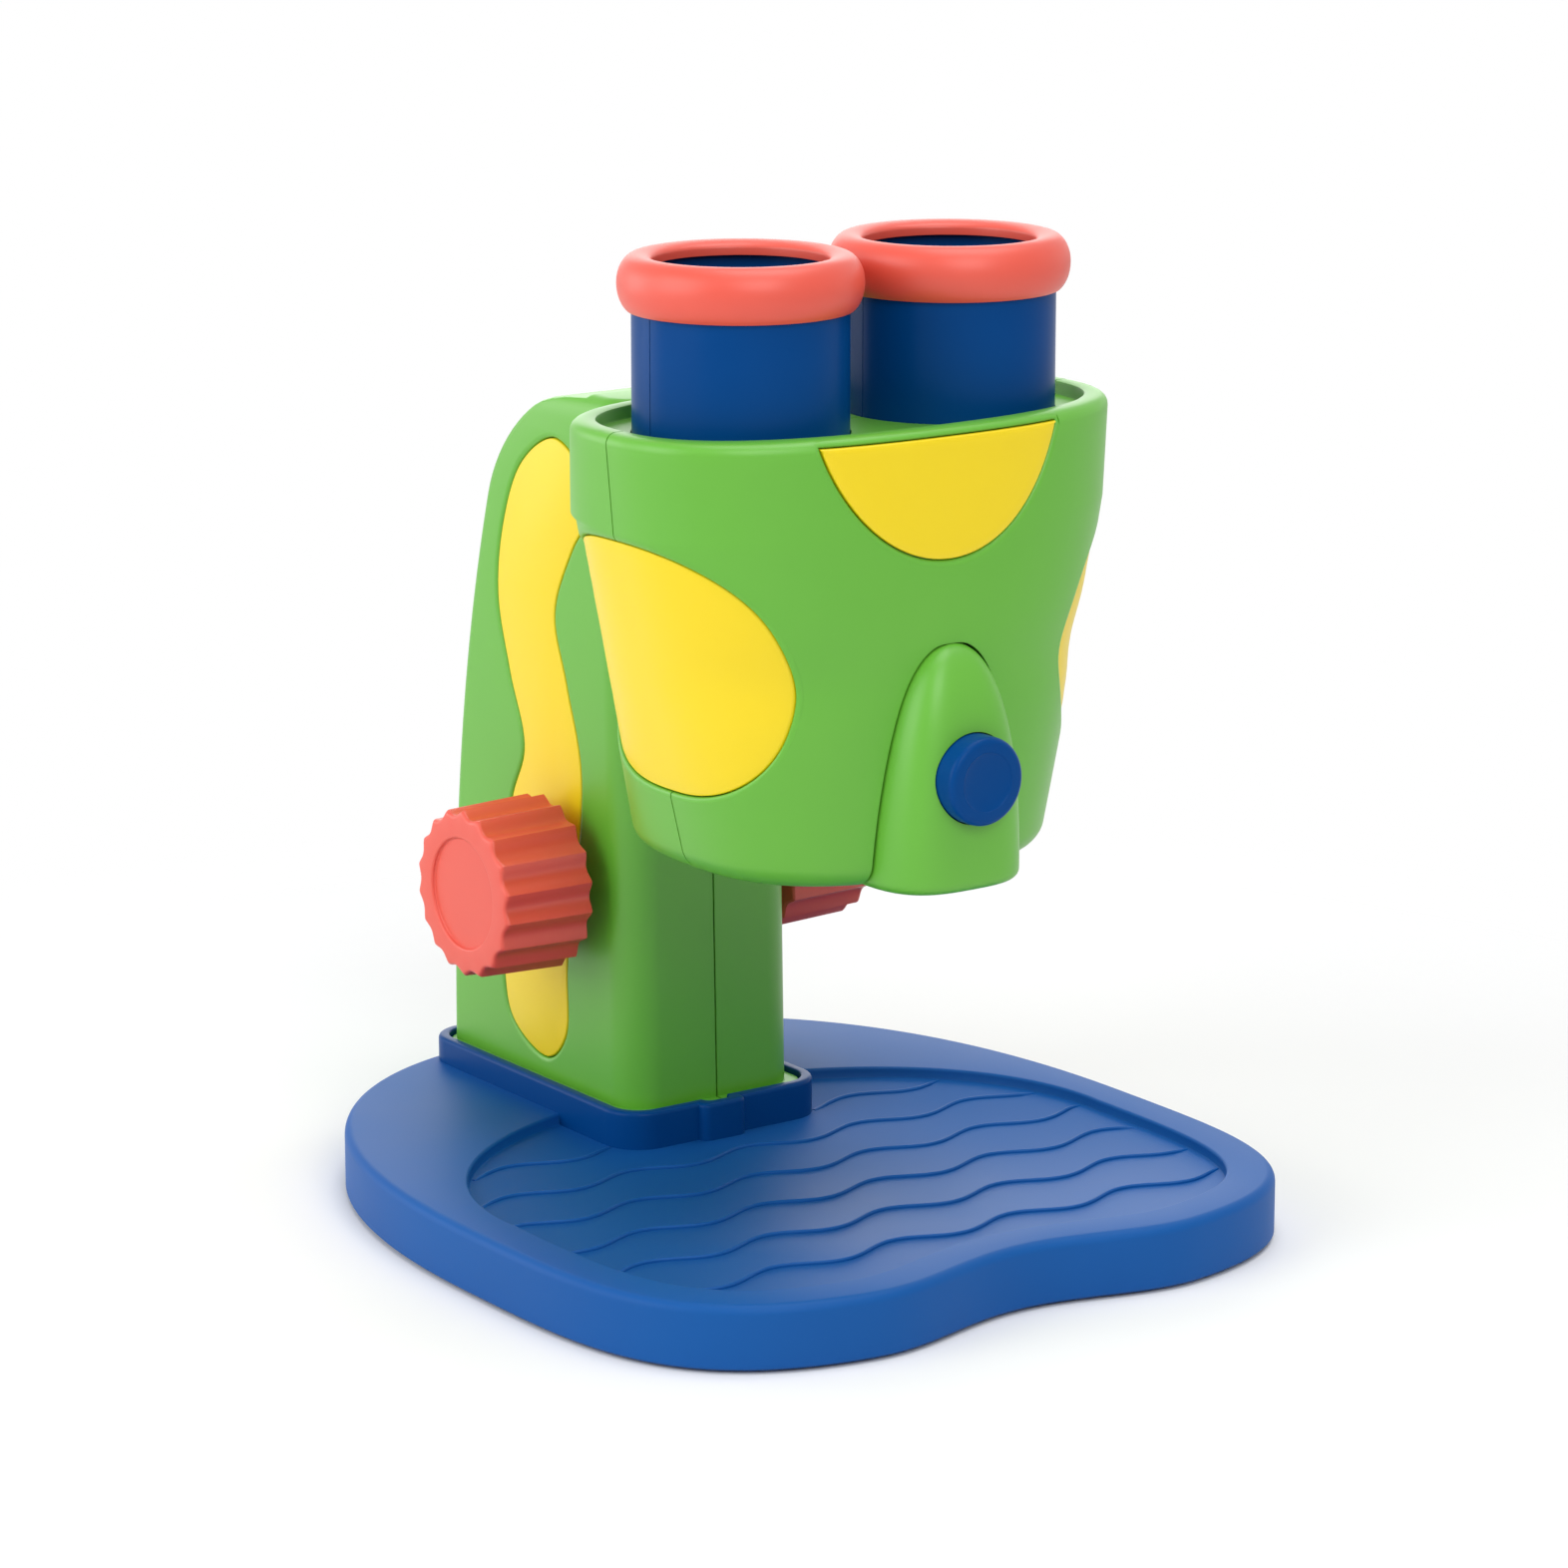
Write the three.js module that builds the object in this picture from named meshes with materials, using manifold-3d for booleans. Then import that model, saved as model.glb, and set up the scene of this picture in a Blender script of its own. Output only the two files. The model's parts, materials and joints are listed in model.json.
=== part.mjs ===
// Toy microscope with two eyepieces, a lit head on a rack-and-pinion focus column, and a broad stage base.
// Millimetres, +Z up. The origin is the bottom centre of the base, and the front faces -Y.
import * as THREE from "three";
import { mergeVertices } from "three/addons/utils/BufferGeometryUtils.js";
import Module from "manifold-3d";

const wasm = await Module();
wasm.setup();

// Clearances and common walls
const GAP = 0.3; // between pieces that meet
const REACH = 40; // how far a cutting tool runs past what it cuts
const WALL = 2.6; // moulded shell wall
const MERGE = 1e-4; // points closer than this are one point

// Base
const BASE_HALF_WIDTH = 104;
const BASE_FRONT_REACH = 98; // from the widest line to the front lobes
const BASE_REAR_REACH = 139.5; // from the widest line to the back
const BASE_FRONT_ROUNDNESS = 3.7; // exponent of the front outline, squarer as it grows
const BASE_REAR_ROUNDNESS = 2.3;
const BASE_DENT_DEPTH = 9.5; // the shallow bay in the middle of the front
const BASE_DENT_HALF_WIDTH = 50;
const BASE_TOP = 17;
const BASE_EDGE_RADIUS = 2.5;
const BASE_POINTS = 42;
const BASE_WALL = 3;
const BASE_RIB = 2;
const BASE_RIB_PITCH = 45;

// Sunk stage and its ripples
const STAGE_INSET = 12.5;
const STAGE_DEPTH = 3;
const STAGE_REAR_Y = 52;
const STAGE_REAR_ROUNDNESS = 2.1;
const RIPPLE_COUNT = 6;
const RIPPLE_PITCH = 21;
const RIPPLE_FIRST_Y = 22;
const RIPPLE_WAVE = 36;
const RIPPLE_SWING = 2.6;
const RIPPLE_WIDTH = 1.2;
const RIPPLE_HEIGHT = 0.8;
const RIPPLE_STEPS = 4; // straight steps to a wave
const RIPPLE_SHIFT = 0.35; // waves that each ripple is ahead of the last

// Feet
const FOOT_RADIUS = 8;
const FOOT_PROUD = 0.9; // how far the feet stand below the base
const FOOT_PLUG_RADIUS = 5;
const FOOT_PLUG_LENGTH = 4;
const FOOT_X = 68;
const FOOT_FRONT_Y = -80;
const FOOT_REAR_Y = 58;

// Column
const COLUMN_HALF_WIDTH = 28;
const COLUMN_FRONT_Y = 21;
const COLUMN_REAR_Y = 108.5;
const COLUMN_TOP = 208.5;
const COLUMN_FRONT_DRAFT = 4.5; // how far the front leans back over its height
const COLUMN_REAR_LEAN = 30; // how far the back leans forward over its height
const COLUMN_LEAN_POWER = 2.47;
const COLUMN_CROWN = 15; // height over which the top rounds over at the back
const COLUMN_CROWN_LENGTH = 40;
const COLUMN_CROWN_POWER = 1.8;
const COLUMN_TOP_EDGE = 6;
const COLUMN_FRONT_CORNER = 14;
const COLUMN_REAR_CORNER = 4;
// The S of the side inlay, as [depth, height] places that a closed curve passes through
const INLAY_PLACES = [
  [60, 28], [77, 35], [81, 48], [75, 94], [68.5, 112], [77, 136], [79, 154],
  [71, 182], [54, 191], [43, 174], [52, 148], [42, 112], [50, 56], [51, 36],
];
const INLAY_STEPS = 26;
const INLAY_PROUD = 0.4;
const INLAY_LIP = 2; // the inlay is wider than its window by this, behind the wall
const INLAY_LIP_THICKNESS = 1.4;
const FOOT_LEDGE = 2; // the foot is wider than the column by this
const COLLAR_WALL = 3;
const COLLAR_HEIGHT = 7;
const COLLAR_CORNER = 7;
const COLLAR_TAB_HALF_WIDTH = 7.5;
const COLLAR_TAB_PROUD = 2.5;
const LEDGE_BELOW_COLLAR = 1.2;

// Focus drive
const SHAFT_Y = 52;
const SHAFT_Z = 80;
const SHAFT_RADIUS = 3;
const BUSH_RADIUS = 5.5;
const BUSH_FLANGE_RADIUS = 8;
const BUSH_FLANGE = 2;
const HUB_RADIUS = 12.5; // plain disc of the column wall behind the knob
const GEAR_MODULE = 1.5;
const GEAR_TEETH = 12;
const GEAR_WIDTH = 12;
const GEAR_DEDENDUM = 1.25; // depth of a tooth below the pitch line, in modules
const GEAR_BACKLASH = 0.5;
const PRESSURE_ANGLE = Math.PI / 9;
const RACK_ADDENDUM = 0.7; // in modules, short so that the small pinion isn't undercut
const HEAD_RAISE = 12;
const HEAD_LOWER = 10;
const KNOB_RADIUS = 22.5;
const KNOB_LENGTH = 30.5;
const KNOB_FLUTES = 16;
const KNOB_FLUTE_DEPTH = 1.8;
const KNOB_DRAFT = 0.8;
const KNOB_EDGE = 1.5;
const KNOB_DISC_RADIUS = 14;
const KNOB_DISC_DEPTH = 1;
const KNOB_STANDOFF = 0.6;

// Carriage
const PLATE_THICKNESS = 4;
const GUIDE_THICKNESS = 2;
const GUIDE_REACH = 4;
const GUIDE_SIDE = 5.9; // from the column's inner wall to the plate's edge
const NECK_HALF_WIDTH = 11.5;
const NECK_BOTTOM = 130;
const NECK_TOP = 174;

// Head
const EYE_X = 31.5;
const EYE_Y = -35.5; // also the plane where the front and rear shells meet
const HEAD_TOP = 214;
const HEAD_BOTTOM = 102.5;
const HEAD_BAND_BOTTOM = 189;
const HEAD_TOP_HALF_WIDTH = 71;
const HEAD_BAND_HALF_WIDTH = 68.8;
const HEAD_LOW_HALF_WIDTH = 47.8;
const HEAD_TOP_DEPTH = 41.5; // from the shell plane to the front, and to the back
const HEAD_FRONT_SWELL = 2;
const HEAD_LOW_REAR_DEPTH = 47;
const HEAD_ROUNDNESS = 2.5;
const HEAD_WAIST = 0.33; // how much rounder the front corners are at the waist
const HEAD_WAIST_Z = 163;
const HEAD_WAIST_SPREAD = 17;
const HEAD_TOP_EDGE = 1.2;
const HEAD_BOTTOM_EDGE = 9;
const HEAD_POINTS = 28;
const HEAD_WALL = 3.2;
const RIM_WIDTH = 6;
const RIM_HEIGHT = 3.5;

// Panels
const FRONT_PANEL_HALF_WIDTH = 35;
const FRONT_PANEL_DROP = 33;
const SIDE_PANEL_Y = -36;
const SIDE_PANEL_Z = 156;
const SIDE_PANEL_HALF_DEPTH = 34;
const SIDE_PANEL_HALF_HEIGHT = 32;
const SIDE_PANEL_ROUNDNESS = 2.3;
const SIDE_PANEL_SUNK = 0.8;
const PANEL_THICKNESS = 1.5;

// Eyepieces
const TUBE_RADIUS = 26.5;
const TUBE_WALL = 2.2;
const TUBE_BOTTOM = 195;
const TUBE_TOP = 246.5;
const TUBE_FLANGE = 2;
const LENS_THICKNESS = 5;
const LENS_EDGE = 1.6;
const LENS_SEAT = 2;
const RIM_RING_TOP = 254;
const RIM_RING_RADIUS = 30;
const RIM_RING_HOLE = 20;
const RIM_RING_SKIRT = 6;
const RIM_RING_SKIRT_WALL = 1.4;
const ROUND = 20; // sides of the large round pieces
const SMALL_ROUND = 6; // sides of the small round pieces
const CORNER_STEPS = 2; // half the straight steps of a round corner

// Objective
const OBJECTIVE_RADIUS = 10;
const OBJECTIVE_THICKNESS = 4.5;
const OBJECTIVE_RING_WALL = 3;
const OBJECTIVE_RING_HEIGHT = 8;
const OBJECTIVE_FLANGE = 2;

// Light housing and button
const NOSE_HALF_WIDTH = 21;
const NOSE_TOP = 160.5;
const NOSE_ARCH = 48; // height of its rounded upper part
const NOSE_BOTTOM = 101;
const NOSE_FRONT_Y = -87; // at its foot
const NOSE_TIP_PROUD = 0.4;
const NOSE_BACK_Y = -68;
const NOSE_EDGE = 2.5;
const NOSE_POINTS = 12;
const BUTTON_Z = 130;
const BUTTON_RADIUS = 11;
const BUTTON_FACE_Y = -94;
const BUTTON_EDGE = 1.6;
const BUTTON_DISH = 0.8;
const BUTTON_DISH_RADIUS = 6.6;
const BUTTON_WALL = 1.8;
const BUTTON_FLANGE = 1;
const BUTTON_FLANGE_DEPTH = 1.5;
const BUTTON_BACK_Y = -76.8;
const BUTTON_TRAVEL = 2;
const BUTTON_STEM_RADIUS = 2.5;

// Light parts
const CHASSIS_PLATE = 2;
const CELL_RADIUS = 5.25;
const CELL_LENGTH = 44.5;
const CELL_NUB_RADIUS = 1.9;
const CELL_NUB_LENGTH = 0.8;
const TRAY_WALL = 1.5;
const CONTACT_THICKNESS = 0.6;
const BOARD_HALF_WIDTH = 9;
const BOARD_HALF_HEIGHT = 8;
const BOARD_THICKNESS = 1.6;
const SWITCH_HALF = 3;
const SWITCH_DEPTH = 3.4;
const SWITCH_PIN_RADIUS = 1.7;
const LED_RADIUS = 2.5;
const LED_LENGTH = 7;
const LED_Y = -78;

// Screws
const SCREW_RADIUS = 1.5;
const SCREW_HEAD_RADIUS = 3;
const SCREW_HEAD = 2;
const SCREW_SINK = 1; // how far a head lies below the surface
const BOSS_RADIUS = 4;
const COLUMN_SCREW_LENGTH = 40;
const COLUMN_SCREW_FRONT_HEIGHT = 19; // above the base
const COLUMN_SCREW_HEIGHTS = [25, 95, 143]; // up the back, above the base
const HEAD_SCREWS = [[38, 67], [35, 17]]; // from the middle, and above the head's bottom
const HEAD_SCREW_SINK = 4;
const HEAD_SCREW_LENGTH = 34;
const BASE_SCREW_LENGTH = 18;
const CARRIAGE_SCREW_LENGTH = 14;
const DOOR_SCREW_LENGTH = 8;
const DOOR_BOSS_RADIUS = 3.2;

// Plastics, metals and glass
const finish = (color, roughness, metalness = 0) =>
  new THREE.MeshStandardMaterial({ color, roughness, metalness });
const GREEN = finish(0x6db944, 0.45);
const YELLOW = finish(0xf7e12d, 0.45);
const BASE_BLUE = finish(0x1f559f, 0.6);
const TUBE_BLUE = finish(0x0f3f86, 0.35);
const CORAL = finish(0xee7860, 0.45);
const RUBBER = finish(0x2a2a2c, 0.9);
const NYLON = finish(0xe9e6dc, 0.5);
const STEEL = finish(0xb9bcc0, 0.3, 1);
const CLEAR = finish(0xdfeaf0, 0.05);
const BOARD_GREEN = finish(0x2d6b3a, 0.5);
const SWITCH_BLACK = finish(0x202124, 0.5);
const CELL_JACKET = finish(0x8f959c, 0.35, 0.6);
const LED_CLEAR = finish(0xf6f4e6, 0.2);

const microscope = new THREE.Group();
const { clamp, lerp } = THREE.MathUtils;

// Solids

// A closed geometry as a solid that can be joined and cut, with its faces turned outwards.
function solid(geometry) {
  const bare = geometry.clone();
  bare.deleteAttribute("normal");
  bare.deleteAttribute("uv");
  const merged = mergeVertices(bare, MERGE);
  const at = merged.index.array;
  const faces = [];
  for (let i = 0; i < at.length; i += 3) {
    const [a, b, c] = [at[i], at[i + 1], at[i + 2]];
    if (a !== b && b !== c && c !== a) faces.push(a, b, c);
  }
  const build = (triVerts) =>
    new wasm.Manifold(
      new wasm.Mesh({
        numProp: 3,
        vertProperties: merged.attributes.position.array,
        triVerts: new Uint32Array(triVerts),
      }),
    );
  const made = build(faces);
  return made.volume() > 0 ? made : build(faces.reverse());
}

// Adds a finished solid to the microscope as one named piece.
function piece(name, material, body) {
  const mesh = body.getMesh();
  const geometry = new THREE.BufferGeometry();
  geometry.setAttribute("position", new THREE.BufferAttribute(mesh.vertProperties, 3));
  geometry.setIndex(new THREE.BufferAttribute(mesh.triVerts, 1));
  geometry.computeVertexNormals();
  const made = new THREE.Mesh(geometry, material);
  made.name = name;
  microscope.add(made);
}

const join = (...bodies) => bodies.reduce((all, body) => all.add(body));
const cut = (body, ...tools) => tools.reduce((left, tool) => left.subtract(tool), body);

// A block between two corners.
function block(x0, x1, y0, y1, z0, z1) {
  const box = new THREE.BoxGeometry(x1 - x0, y1 - y0, z1 - z0);
  return solid(box.translate((x0 + x1) / 2, (y0 + y1) / 2, (z0 + z1) / 2));
}

// A closed skin through level rings of equal counts, listed from the bottom up, with flat ends.
function loft(rings) {
  const count = rings[0].length;
  const centre = (ring) =>
    ring.reduce((sum, p) => sum.add(p), new THREE.Vector3()).divideScalar(count);
  const points = [...rings.flat(), centre(rings[0]), centre(rings.at(-1))];
  const low = points.length - 2;
  const last = (rings.length - 1) * count;
  const faces = [];
  for (let i = 0; i < count; i++) {
    const next = (i + 1) % count;
    for (let r = 0; r < last; r += count) {
      faces.push(r + i, r + next, r + count + next, r + i, r + count + next, r + count + i);
    }
    faces.push(low, next, i, low + 1, last + i, last + next);
  }
  const geometry = new THREE.BufferGeometry().setFromPoints(points).setIndex(faces);
  return solid(geometry);
}

// A plan outline drawn in X and Y, raised from one level to another.
function prismZ(outline, z0, z1) {
  const options = { depth: z1 - z0, bevelEnabled: false, curveSegments: CORNER_STEPS };
  return solid(new THREE.ExtrudeGeometry(outline, options).translate(0, 0, z0));
}

// Turns a geometry drawn with its outline in X and Y so that the outline lies in Y and Z.
const SIDEWAYS = new THREE.Matrix4().set(0, 0, 1, 0, 1, 0, 0, 0, 0, 1, 0, 0, 0, 0, 0, 1);

// A side outline drawn in Y and Z, carried from one X to another.
function prismX(outline, x0, x1) {
  const options = { depth: x1 - x0, bevelEnabled: false, curveSegments: CORNER_STEPS };
  return solid(new THREE.ExtrudeGeometry(outline, options).applyMatrix4(SIDEWAYS).translate(x0, 0, 0));
}

// A front outline drawn in X and Z, carried from one Y to another.
function prismY(outline, y0, y1) {
  const options = { depth: y1 - y0, bevelEnabled: false, curveSegments: CORNER_STEPS };
  return solid(new THREE.ExtrudeGeometry(outline, options).rotateX(Math.PI / 2).translate(0, y1, 0));
}

// A profile of [radius, height] points turned about the Z axis, before it is moved.
function revolve(profile, sides) {
  const closed = [...profile, profile[0]].map(([r, z]) => new THREE.Vector2(r, z));
  return solid(new THREE.LatheGeometry(closed, sides).rotateX(Math.PI / 2));
}

const alongX = (body) => body.rotate([0, 90, 0]);
const alongY = (body) => body.rotate([-90, 0, 0]);

// A round bar with its axis on Z, from one level to another.
function bar(radius, z0, z1, sides = SMALL_ROUND) {
  return revolve([[0, z0], [radius, z0], [radius, z1], [0, z1]], sides);
}

// A rectangle with round corners, as an outline. Its rear corners can have a radius of their own.
function roundedRectangle(x0, x1, y0, y1, radius, rear = radius) {
  const outline = new THREE.Shape();
  outline.absarc(x1 - rear, y1 - rear, rear, 0, Math.PI / 2);
  outline.absarc(x0 + rear, y1 - rear, rear, Math.PI / 2, Math.PI);
  outline.absarc(x0 + radius, y0 + radius, radius, Math.PI, Math.PI * 1.5);
  outline.absarc(x1 - radius, y0 + radius, radius, Math.PI * 1.5, Math.PI * 2);
  return outline;
}

// The points of a closed outline, listed anticlockwise, each moved inwards by an inset.
function pullIn(points, inset) {
  const count = points.length;
  return points.map((point, i) => {
    const along = points[(i + 1) % count].clone().sub(points[(i + count - 1) % count]).normalize();
    return new THREE.Vector2(point.x - along.y * inset, point.y + along.x * inset);
  });
}

// A point on an oval whose corners grow squarer with its roundness exponent.
function ovalPoint(angle, halfWidth, depth, roundness) {
  const spread = (value) => Math.sign(value) * Math.abs(value) ** (2 / roundness);
  return [halfWidth * spread(Math.cos(angle)), depth * spread(Math.sin(angle))];
}

// A screw standing on Z with the underside of its head at zero and its tip below.
function screw(length) {
  const head = SCREW_HEAD_RADIUS;
  return revolve(
    [[0, -length], [SCREW_RADIUS, -length], [SCREW_RADIUS, 0], [head, 0], [head * 0.7, SCREW_HEAD],
      [0, SCREW_HEAD]],
    SMALL_ROUND,
  );
}

// The hole that a screw passes through, with a sunk seat for its head.
function screwHole(length) {
  const shank = SCREW_RADIUS + GAP;
  const seat = SCREW_HEAD_RADIUS + GAP;
  return revolve([[0, -length - GAP], [shank, -length - GAP], [shank, -GAP], [seat, -GAP], [seat, REACH],
    [0, REACH]], SMALL_ROUND);
}

// Base

// The base outline, pulled in by an inset, centred front to back on the origin.
function baseOutline(inset) {
  const points = [];
  for (let i = 0; i < BASE_POINTS; i++) {
    const angle = ((i + 0.5) / BASE_POINTS) * Math.PI * 2;
    const rear = Math.sin(angle) > 0;
    const reach = rear ? BASE_REAR_REACH : BASE_FRONT_REACH;
    const roundness = rear ? BASE_REAR_ROUNDNESS : BASE_FRONT_ROUNDNESS;
    const [x, y] = ovalPoint(angle, BASE_HALF_WIDTH, reach, roundness);
    const bay = Math.abs(x) < BASE_DENT_HALF_WIDTH && !rear;
    const dent = bay ? (BASE_DENT_DEPTH / 2) * (1 + Math.cos((Math.PI * x) / BASE_DENT_HALF_WIDTH)) : 0;
    points.push(new THREE.Vector2(x, y + dent));
  }
  const heights = points.map((p) => p.y);
  const middle = (Math.max(...heights) + Math.min(...heights)) / 2;
  return pullIn(points.map((p) => new THREE.Vector2(p.x, p.y - middle)), inset);
}

const ring = (outline, z) => outline.map((p) => new THREE.Vector3(p.x, p.y, z));
const baseBottom = FOOT_PROUD;
const stageFloor = BASE_TOP - STAGE_DEPTH;
const trayTop = stageFloor - BASE_WALL;
const collarTop = BASE_TOP + COLLAR_HEIGHT;
const footTop = collarTop - LEDGE_BELOW_COLLAR;
const footBottom = BASE_TOP + GAP;

// The foot of the column, grown by a margin: a rounded block with a tab in the middle of its front.
function footPlan(margin, z0, z1) {
  const half = COLUMN_HALF_WIDTH + FOOT_LEDGE + margin;
  const front = COLUMN_FRONT_Y - FOOT_LEDGE - margin;
  const rear = COLUMN_REAR_Y + FOOT_LEDGE + margin;
  const tab = COLLAR_TAB_HALF_WIDTH + margin;
  const corner = COLLAR_CORNER + margin;
  return join(
    prismZ(roundedRectangle(-half, half, front, rear, corner), z0, z1),
    prismZ(roundedRectangle(-tab, tab, front - COLLAR_TAB_PROUD, front + corner, COLLAR_TAB_PROUD), z0, z1),
  );
}

const footSpots = [
  ["front_left", -FOOT_X, FOOT_FRONT_Y],
  ["front_right", FOOT_X, FOOT_FRONT_Y],
  ["rear_left", -FOOT_X, FOOT_REAR_Y],
  ["rear_right", FOOT_X, FOOT_REAR_Y],
];
const baseScrewX = COLUMN_HALF_WIDTH - WALL - BOSS_RADIUS * 0.7;
const baseScrewYs = [COLUMN_FRONT_Y + COLUMN_FRONT_CORNER, COLUMN_REAR_Y - 3 * BOSS_RADIUS];
const baseScrewSpots = baseScrewYs.flatMap((y) => [[-baseScrewX, y], [baseScrewX, y]]);

// The sunk stage pulled in by an inset: the base outline with a round back that the collar cuts into.
function stagePlan(inset, z0, z1) {
  const half = BASE_HALF_WIDTH - STAGE_INSET - inset;
  const widest = (BASE_FRONT_REACH - BASE_REAR_REACH) / 2;
  const back = new THREE.Shape();
  back.moveTo(-2 * half, -BASE_REAR_REACH);
  back.lineTo(2 * half, -BASE_REAR_REACH);
  const rise = STAGE_REAR_Y - widest - inset;
  for (let i = 0; i <= ROUND; i++) {
    const [x, y] = ovalPoint((i / ROUND) * Math.PI, half, rise, STAGE_REAR_ROUNDNESS);
    back.lineTo(x, y + widest);
  }
  const plan = prismZ(new THREE.Shape(baseOutline(STAGE_INSET + inset)), z0, z1);
  const collar = footPlan(GAP + COLLAR_WALL + inset, z0 - 1, z1 + 1);
  return cut(plan.intersect(prismZ(back, z0 - 1, z1 + 1)), collar);
}

// One ripple of the stage, as a thin wavy strip across it.
function ripple(index) {
  const half = BASE_HALF_WIDTH;
  const steps = Math.round((2 * half * RIPPLE_STEPS) / RIPPLE_WAVE);
  const middle = RIPPLE_FIRST_Y - index * RIPPLE_PITCH;
  const edge = (side) => Array.from({ length: steps + 1 }, (_, i) => {
    const x = half * ((2 * i) / steps - 1);
    const turn = (x / RIPPLE_WAVE + index * RIPPLE_SHIFT) * Math.PI * 2;
    return new THREE.Vector2(x, middle + RIPPLE_SWING * Math.sin(turn) + (side * RIPPLE_WIDTH) / 2);
  });
  return new THREE.Shape([...edge(-1), ...edge(1).reverse()]);
}

function makeBase() {
  const edge = BASE_EDGE_RADIUS;
  const collar = footPlan(GAP + COLLAR_WALL, stageFloor - STAGE_DEPTH / 2, collarTop);
  let body = loft([
    ring(baseOutline(0), baseBottom),
    ring(baseOutline(0), BASE_TOP - edge),
    ring(baseOutline(edge * 0.3), BASE_TOP - edge * 0.3),
    ring(baseOutline(edge), BASE_TOP),
  ]);
  body = join(cut(body, stagePlan(0, stageFloor, BASE_TOP + REACH)), collar);

  // Ripples lie on the stage as thin wavy ribs.
  const rippleRoom = stagePlan(RIPPLE_WIDTH, stageFloor - STAGE_DEPTH / 2, BASE_TOP);
  for (let r = 0; r < RIPPLE_COUNT; r++) {
    const strip = prismZ(ripple(r), stageFloor - STAGE_DEPTH / 3, stageFloor + RIPPLE_HEIGHT);
    body = join(body, strip.intersect(rippleRoom));
  }

  // The column's foot stands in the collar.
  body = cut(body, footPlan(GAP, BASE_TOP, collarTop + REACH));

  // The underside is an open tray with ribs, bosses for the feet, and screw holes up into the column.
  let tray = prismZ(new THREE.Shape(baseOutline(BASE_WALL)), baseBottom - 1, trayTop);
  const far = BASE_REAR_REACH;
  const half = BASE_RIB / 2;
  for (const at of [-BASE_RIB_PITCH, BASE_RIB_PITCH]) {
    tray = cut(tray, block(at - half, at + half, -far, far, baseBottom + half, trayTop + 1));
    tray = cut(tray, block(-far, far, at - half, at + half, baseBottom + BASE_RIB, trayTop + 1));
  }
  const boss = bar(FOOT_PLUG_RADIUS + BASE_WALL, baseBottom - 2, trayTop + 1);
  for (const [, x, y] of footSpots) tray = cut(tray, boss.translate([x, y, 0]));
  const seat = bar(SCREW_HEAD_RADIUS + 1, baseBottom - 2, trayTop);
  for (const [x, y] of baseScrewSpots) tray = join(tray, seat.translate([x, y, 0]));
  const socket = bar(FOOT_PLUG_RADIUS + GAP, baseBottom - 1, baseBottom + FOOT_PLUG_LENGTH + GAP, ROUND / 2);
  const sockets = footSpots.map(([, x, y]) => socket.translate([x, y, 0]));
  const hole = bar(SCREW_RADIUS + GAP, baseBottom, BASE_TOP + REACH);
  const holes = baseScrewSpots.map(([x, y]) => hole.translate([x, y, 0]));
  piece("base_plate", BASE_BLUE, cut(body, tray, ...sockets, ...holes));
}

function makeFeet() {
  const radius = FOOT_RADIUS;
  const top = baseBottom - GAP / 3;
  const plug = top + FOOT_PLUG_LENGTH;
  const edge = FOOT_PROUD / 3;
  const pad = revolve([[0, 0], [radius - edge, 0], [radius, edge], [radius, top], [FOOT_PLUG_RADIUS, top],
    [FOOT_PLUG_RADIUS, plug], [0, plug]], ROUND / 2);
  for (const [name, x, y] of footSpots) piece(`foot_${name}`, RUBBER, pad.translate([x, y, 0]));
}

// Column

const columnRise = COLUMN_TOP - BASE_TOP;
const columnShoulder = COLUMN_TOP - COLUMN_CROWN;

// Where the back of the column lies at a level: it leans forward, then rounds over at the crown.
function columnRearAt(z) {
  const lean = (level) =>
    COLUMN_REAR_Y - COLUMN_REAR_LEAN * (Math.max(0, level - BASE_TOP) / columnRise) ** COLUMN_LEAN_POWER;
  const share = (z - columnShoulder) / COLUMN_CROWN;
  if (share <= 0) return lean(z);
  const over = 1 - Math.max(0, 1 - share ** COLUMN_CROWN_POWER) ** (1 / COLUMN_CROWN_POWER);
  return lean(columnShoulder) - COLUMN_CROWN_LENGTH * over;
}

// The level ring of the column, pulled in by an inset: a rectangle with round corners.
function columnRing(z, inset) {
  const front = COLUMN_FRONT_Y + (COLUMN_FRONT_DRAFT * (z - BASE_TOP)) / columnRise;
  const half = COLUMN_HALF_WIDTH - inset;
  const outline = roundedRectangle(-half, half, front + inset, columnRearAt(z + inset) - inset,
    COLUMN_FRONT_CORNER - inset, Math.max(COLUMN_REAR_CORNER - inset, 1));
  return ring(outline.getPoints(CORNER_STEPS), z);
}

// The column as a solid through its level rings, pulled in by an inset, reaching below its foot.
function columnBody(inset) {
  const top = COLUMN_TOP - inset;
  const shoulder = columnShoulder - inset;
  const leans = [0.35, 0.65, 0.85, 1].map((share) => lerp(BASE_TOP, shoulder, share));
  const crowns = [0.4, 0.7, 0.9, 1].map((share) => lerp(shoulder, top, share));
  const edge = COLUMN_TOP_EDGE;
  const soften = (z) => edge * (1 - Math.sqrt(1 - (Math.max(0, z - top + edge) / edge) ** 2));
  const below = BASE_TOP - REACH / 4;
  return loft([below, ...leans, ...crowns].map((z) => columnRing(z, inset + 0.6 * soften(z))));
}

// The S of the side inlay, grown by a margin.
function inlayOutline(margin) {
  const places = INLAY_PLACES.map(([y, z]) => new THREE.Vector3(y, z, 0));
  const curve = new THREE.CatmullRomCurve3(places, true);
  const points = curve.getSpacedPoints(INLAY_STEPS).slice(1).map((p) => new THREE.Vector2(p.x, p.y));
  return new THREE.Shape(pullIn(points, -margin));
}

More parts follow.
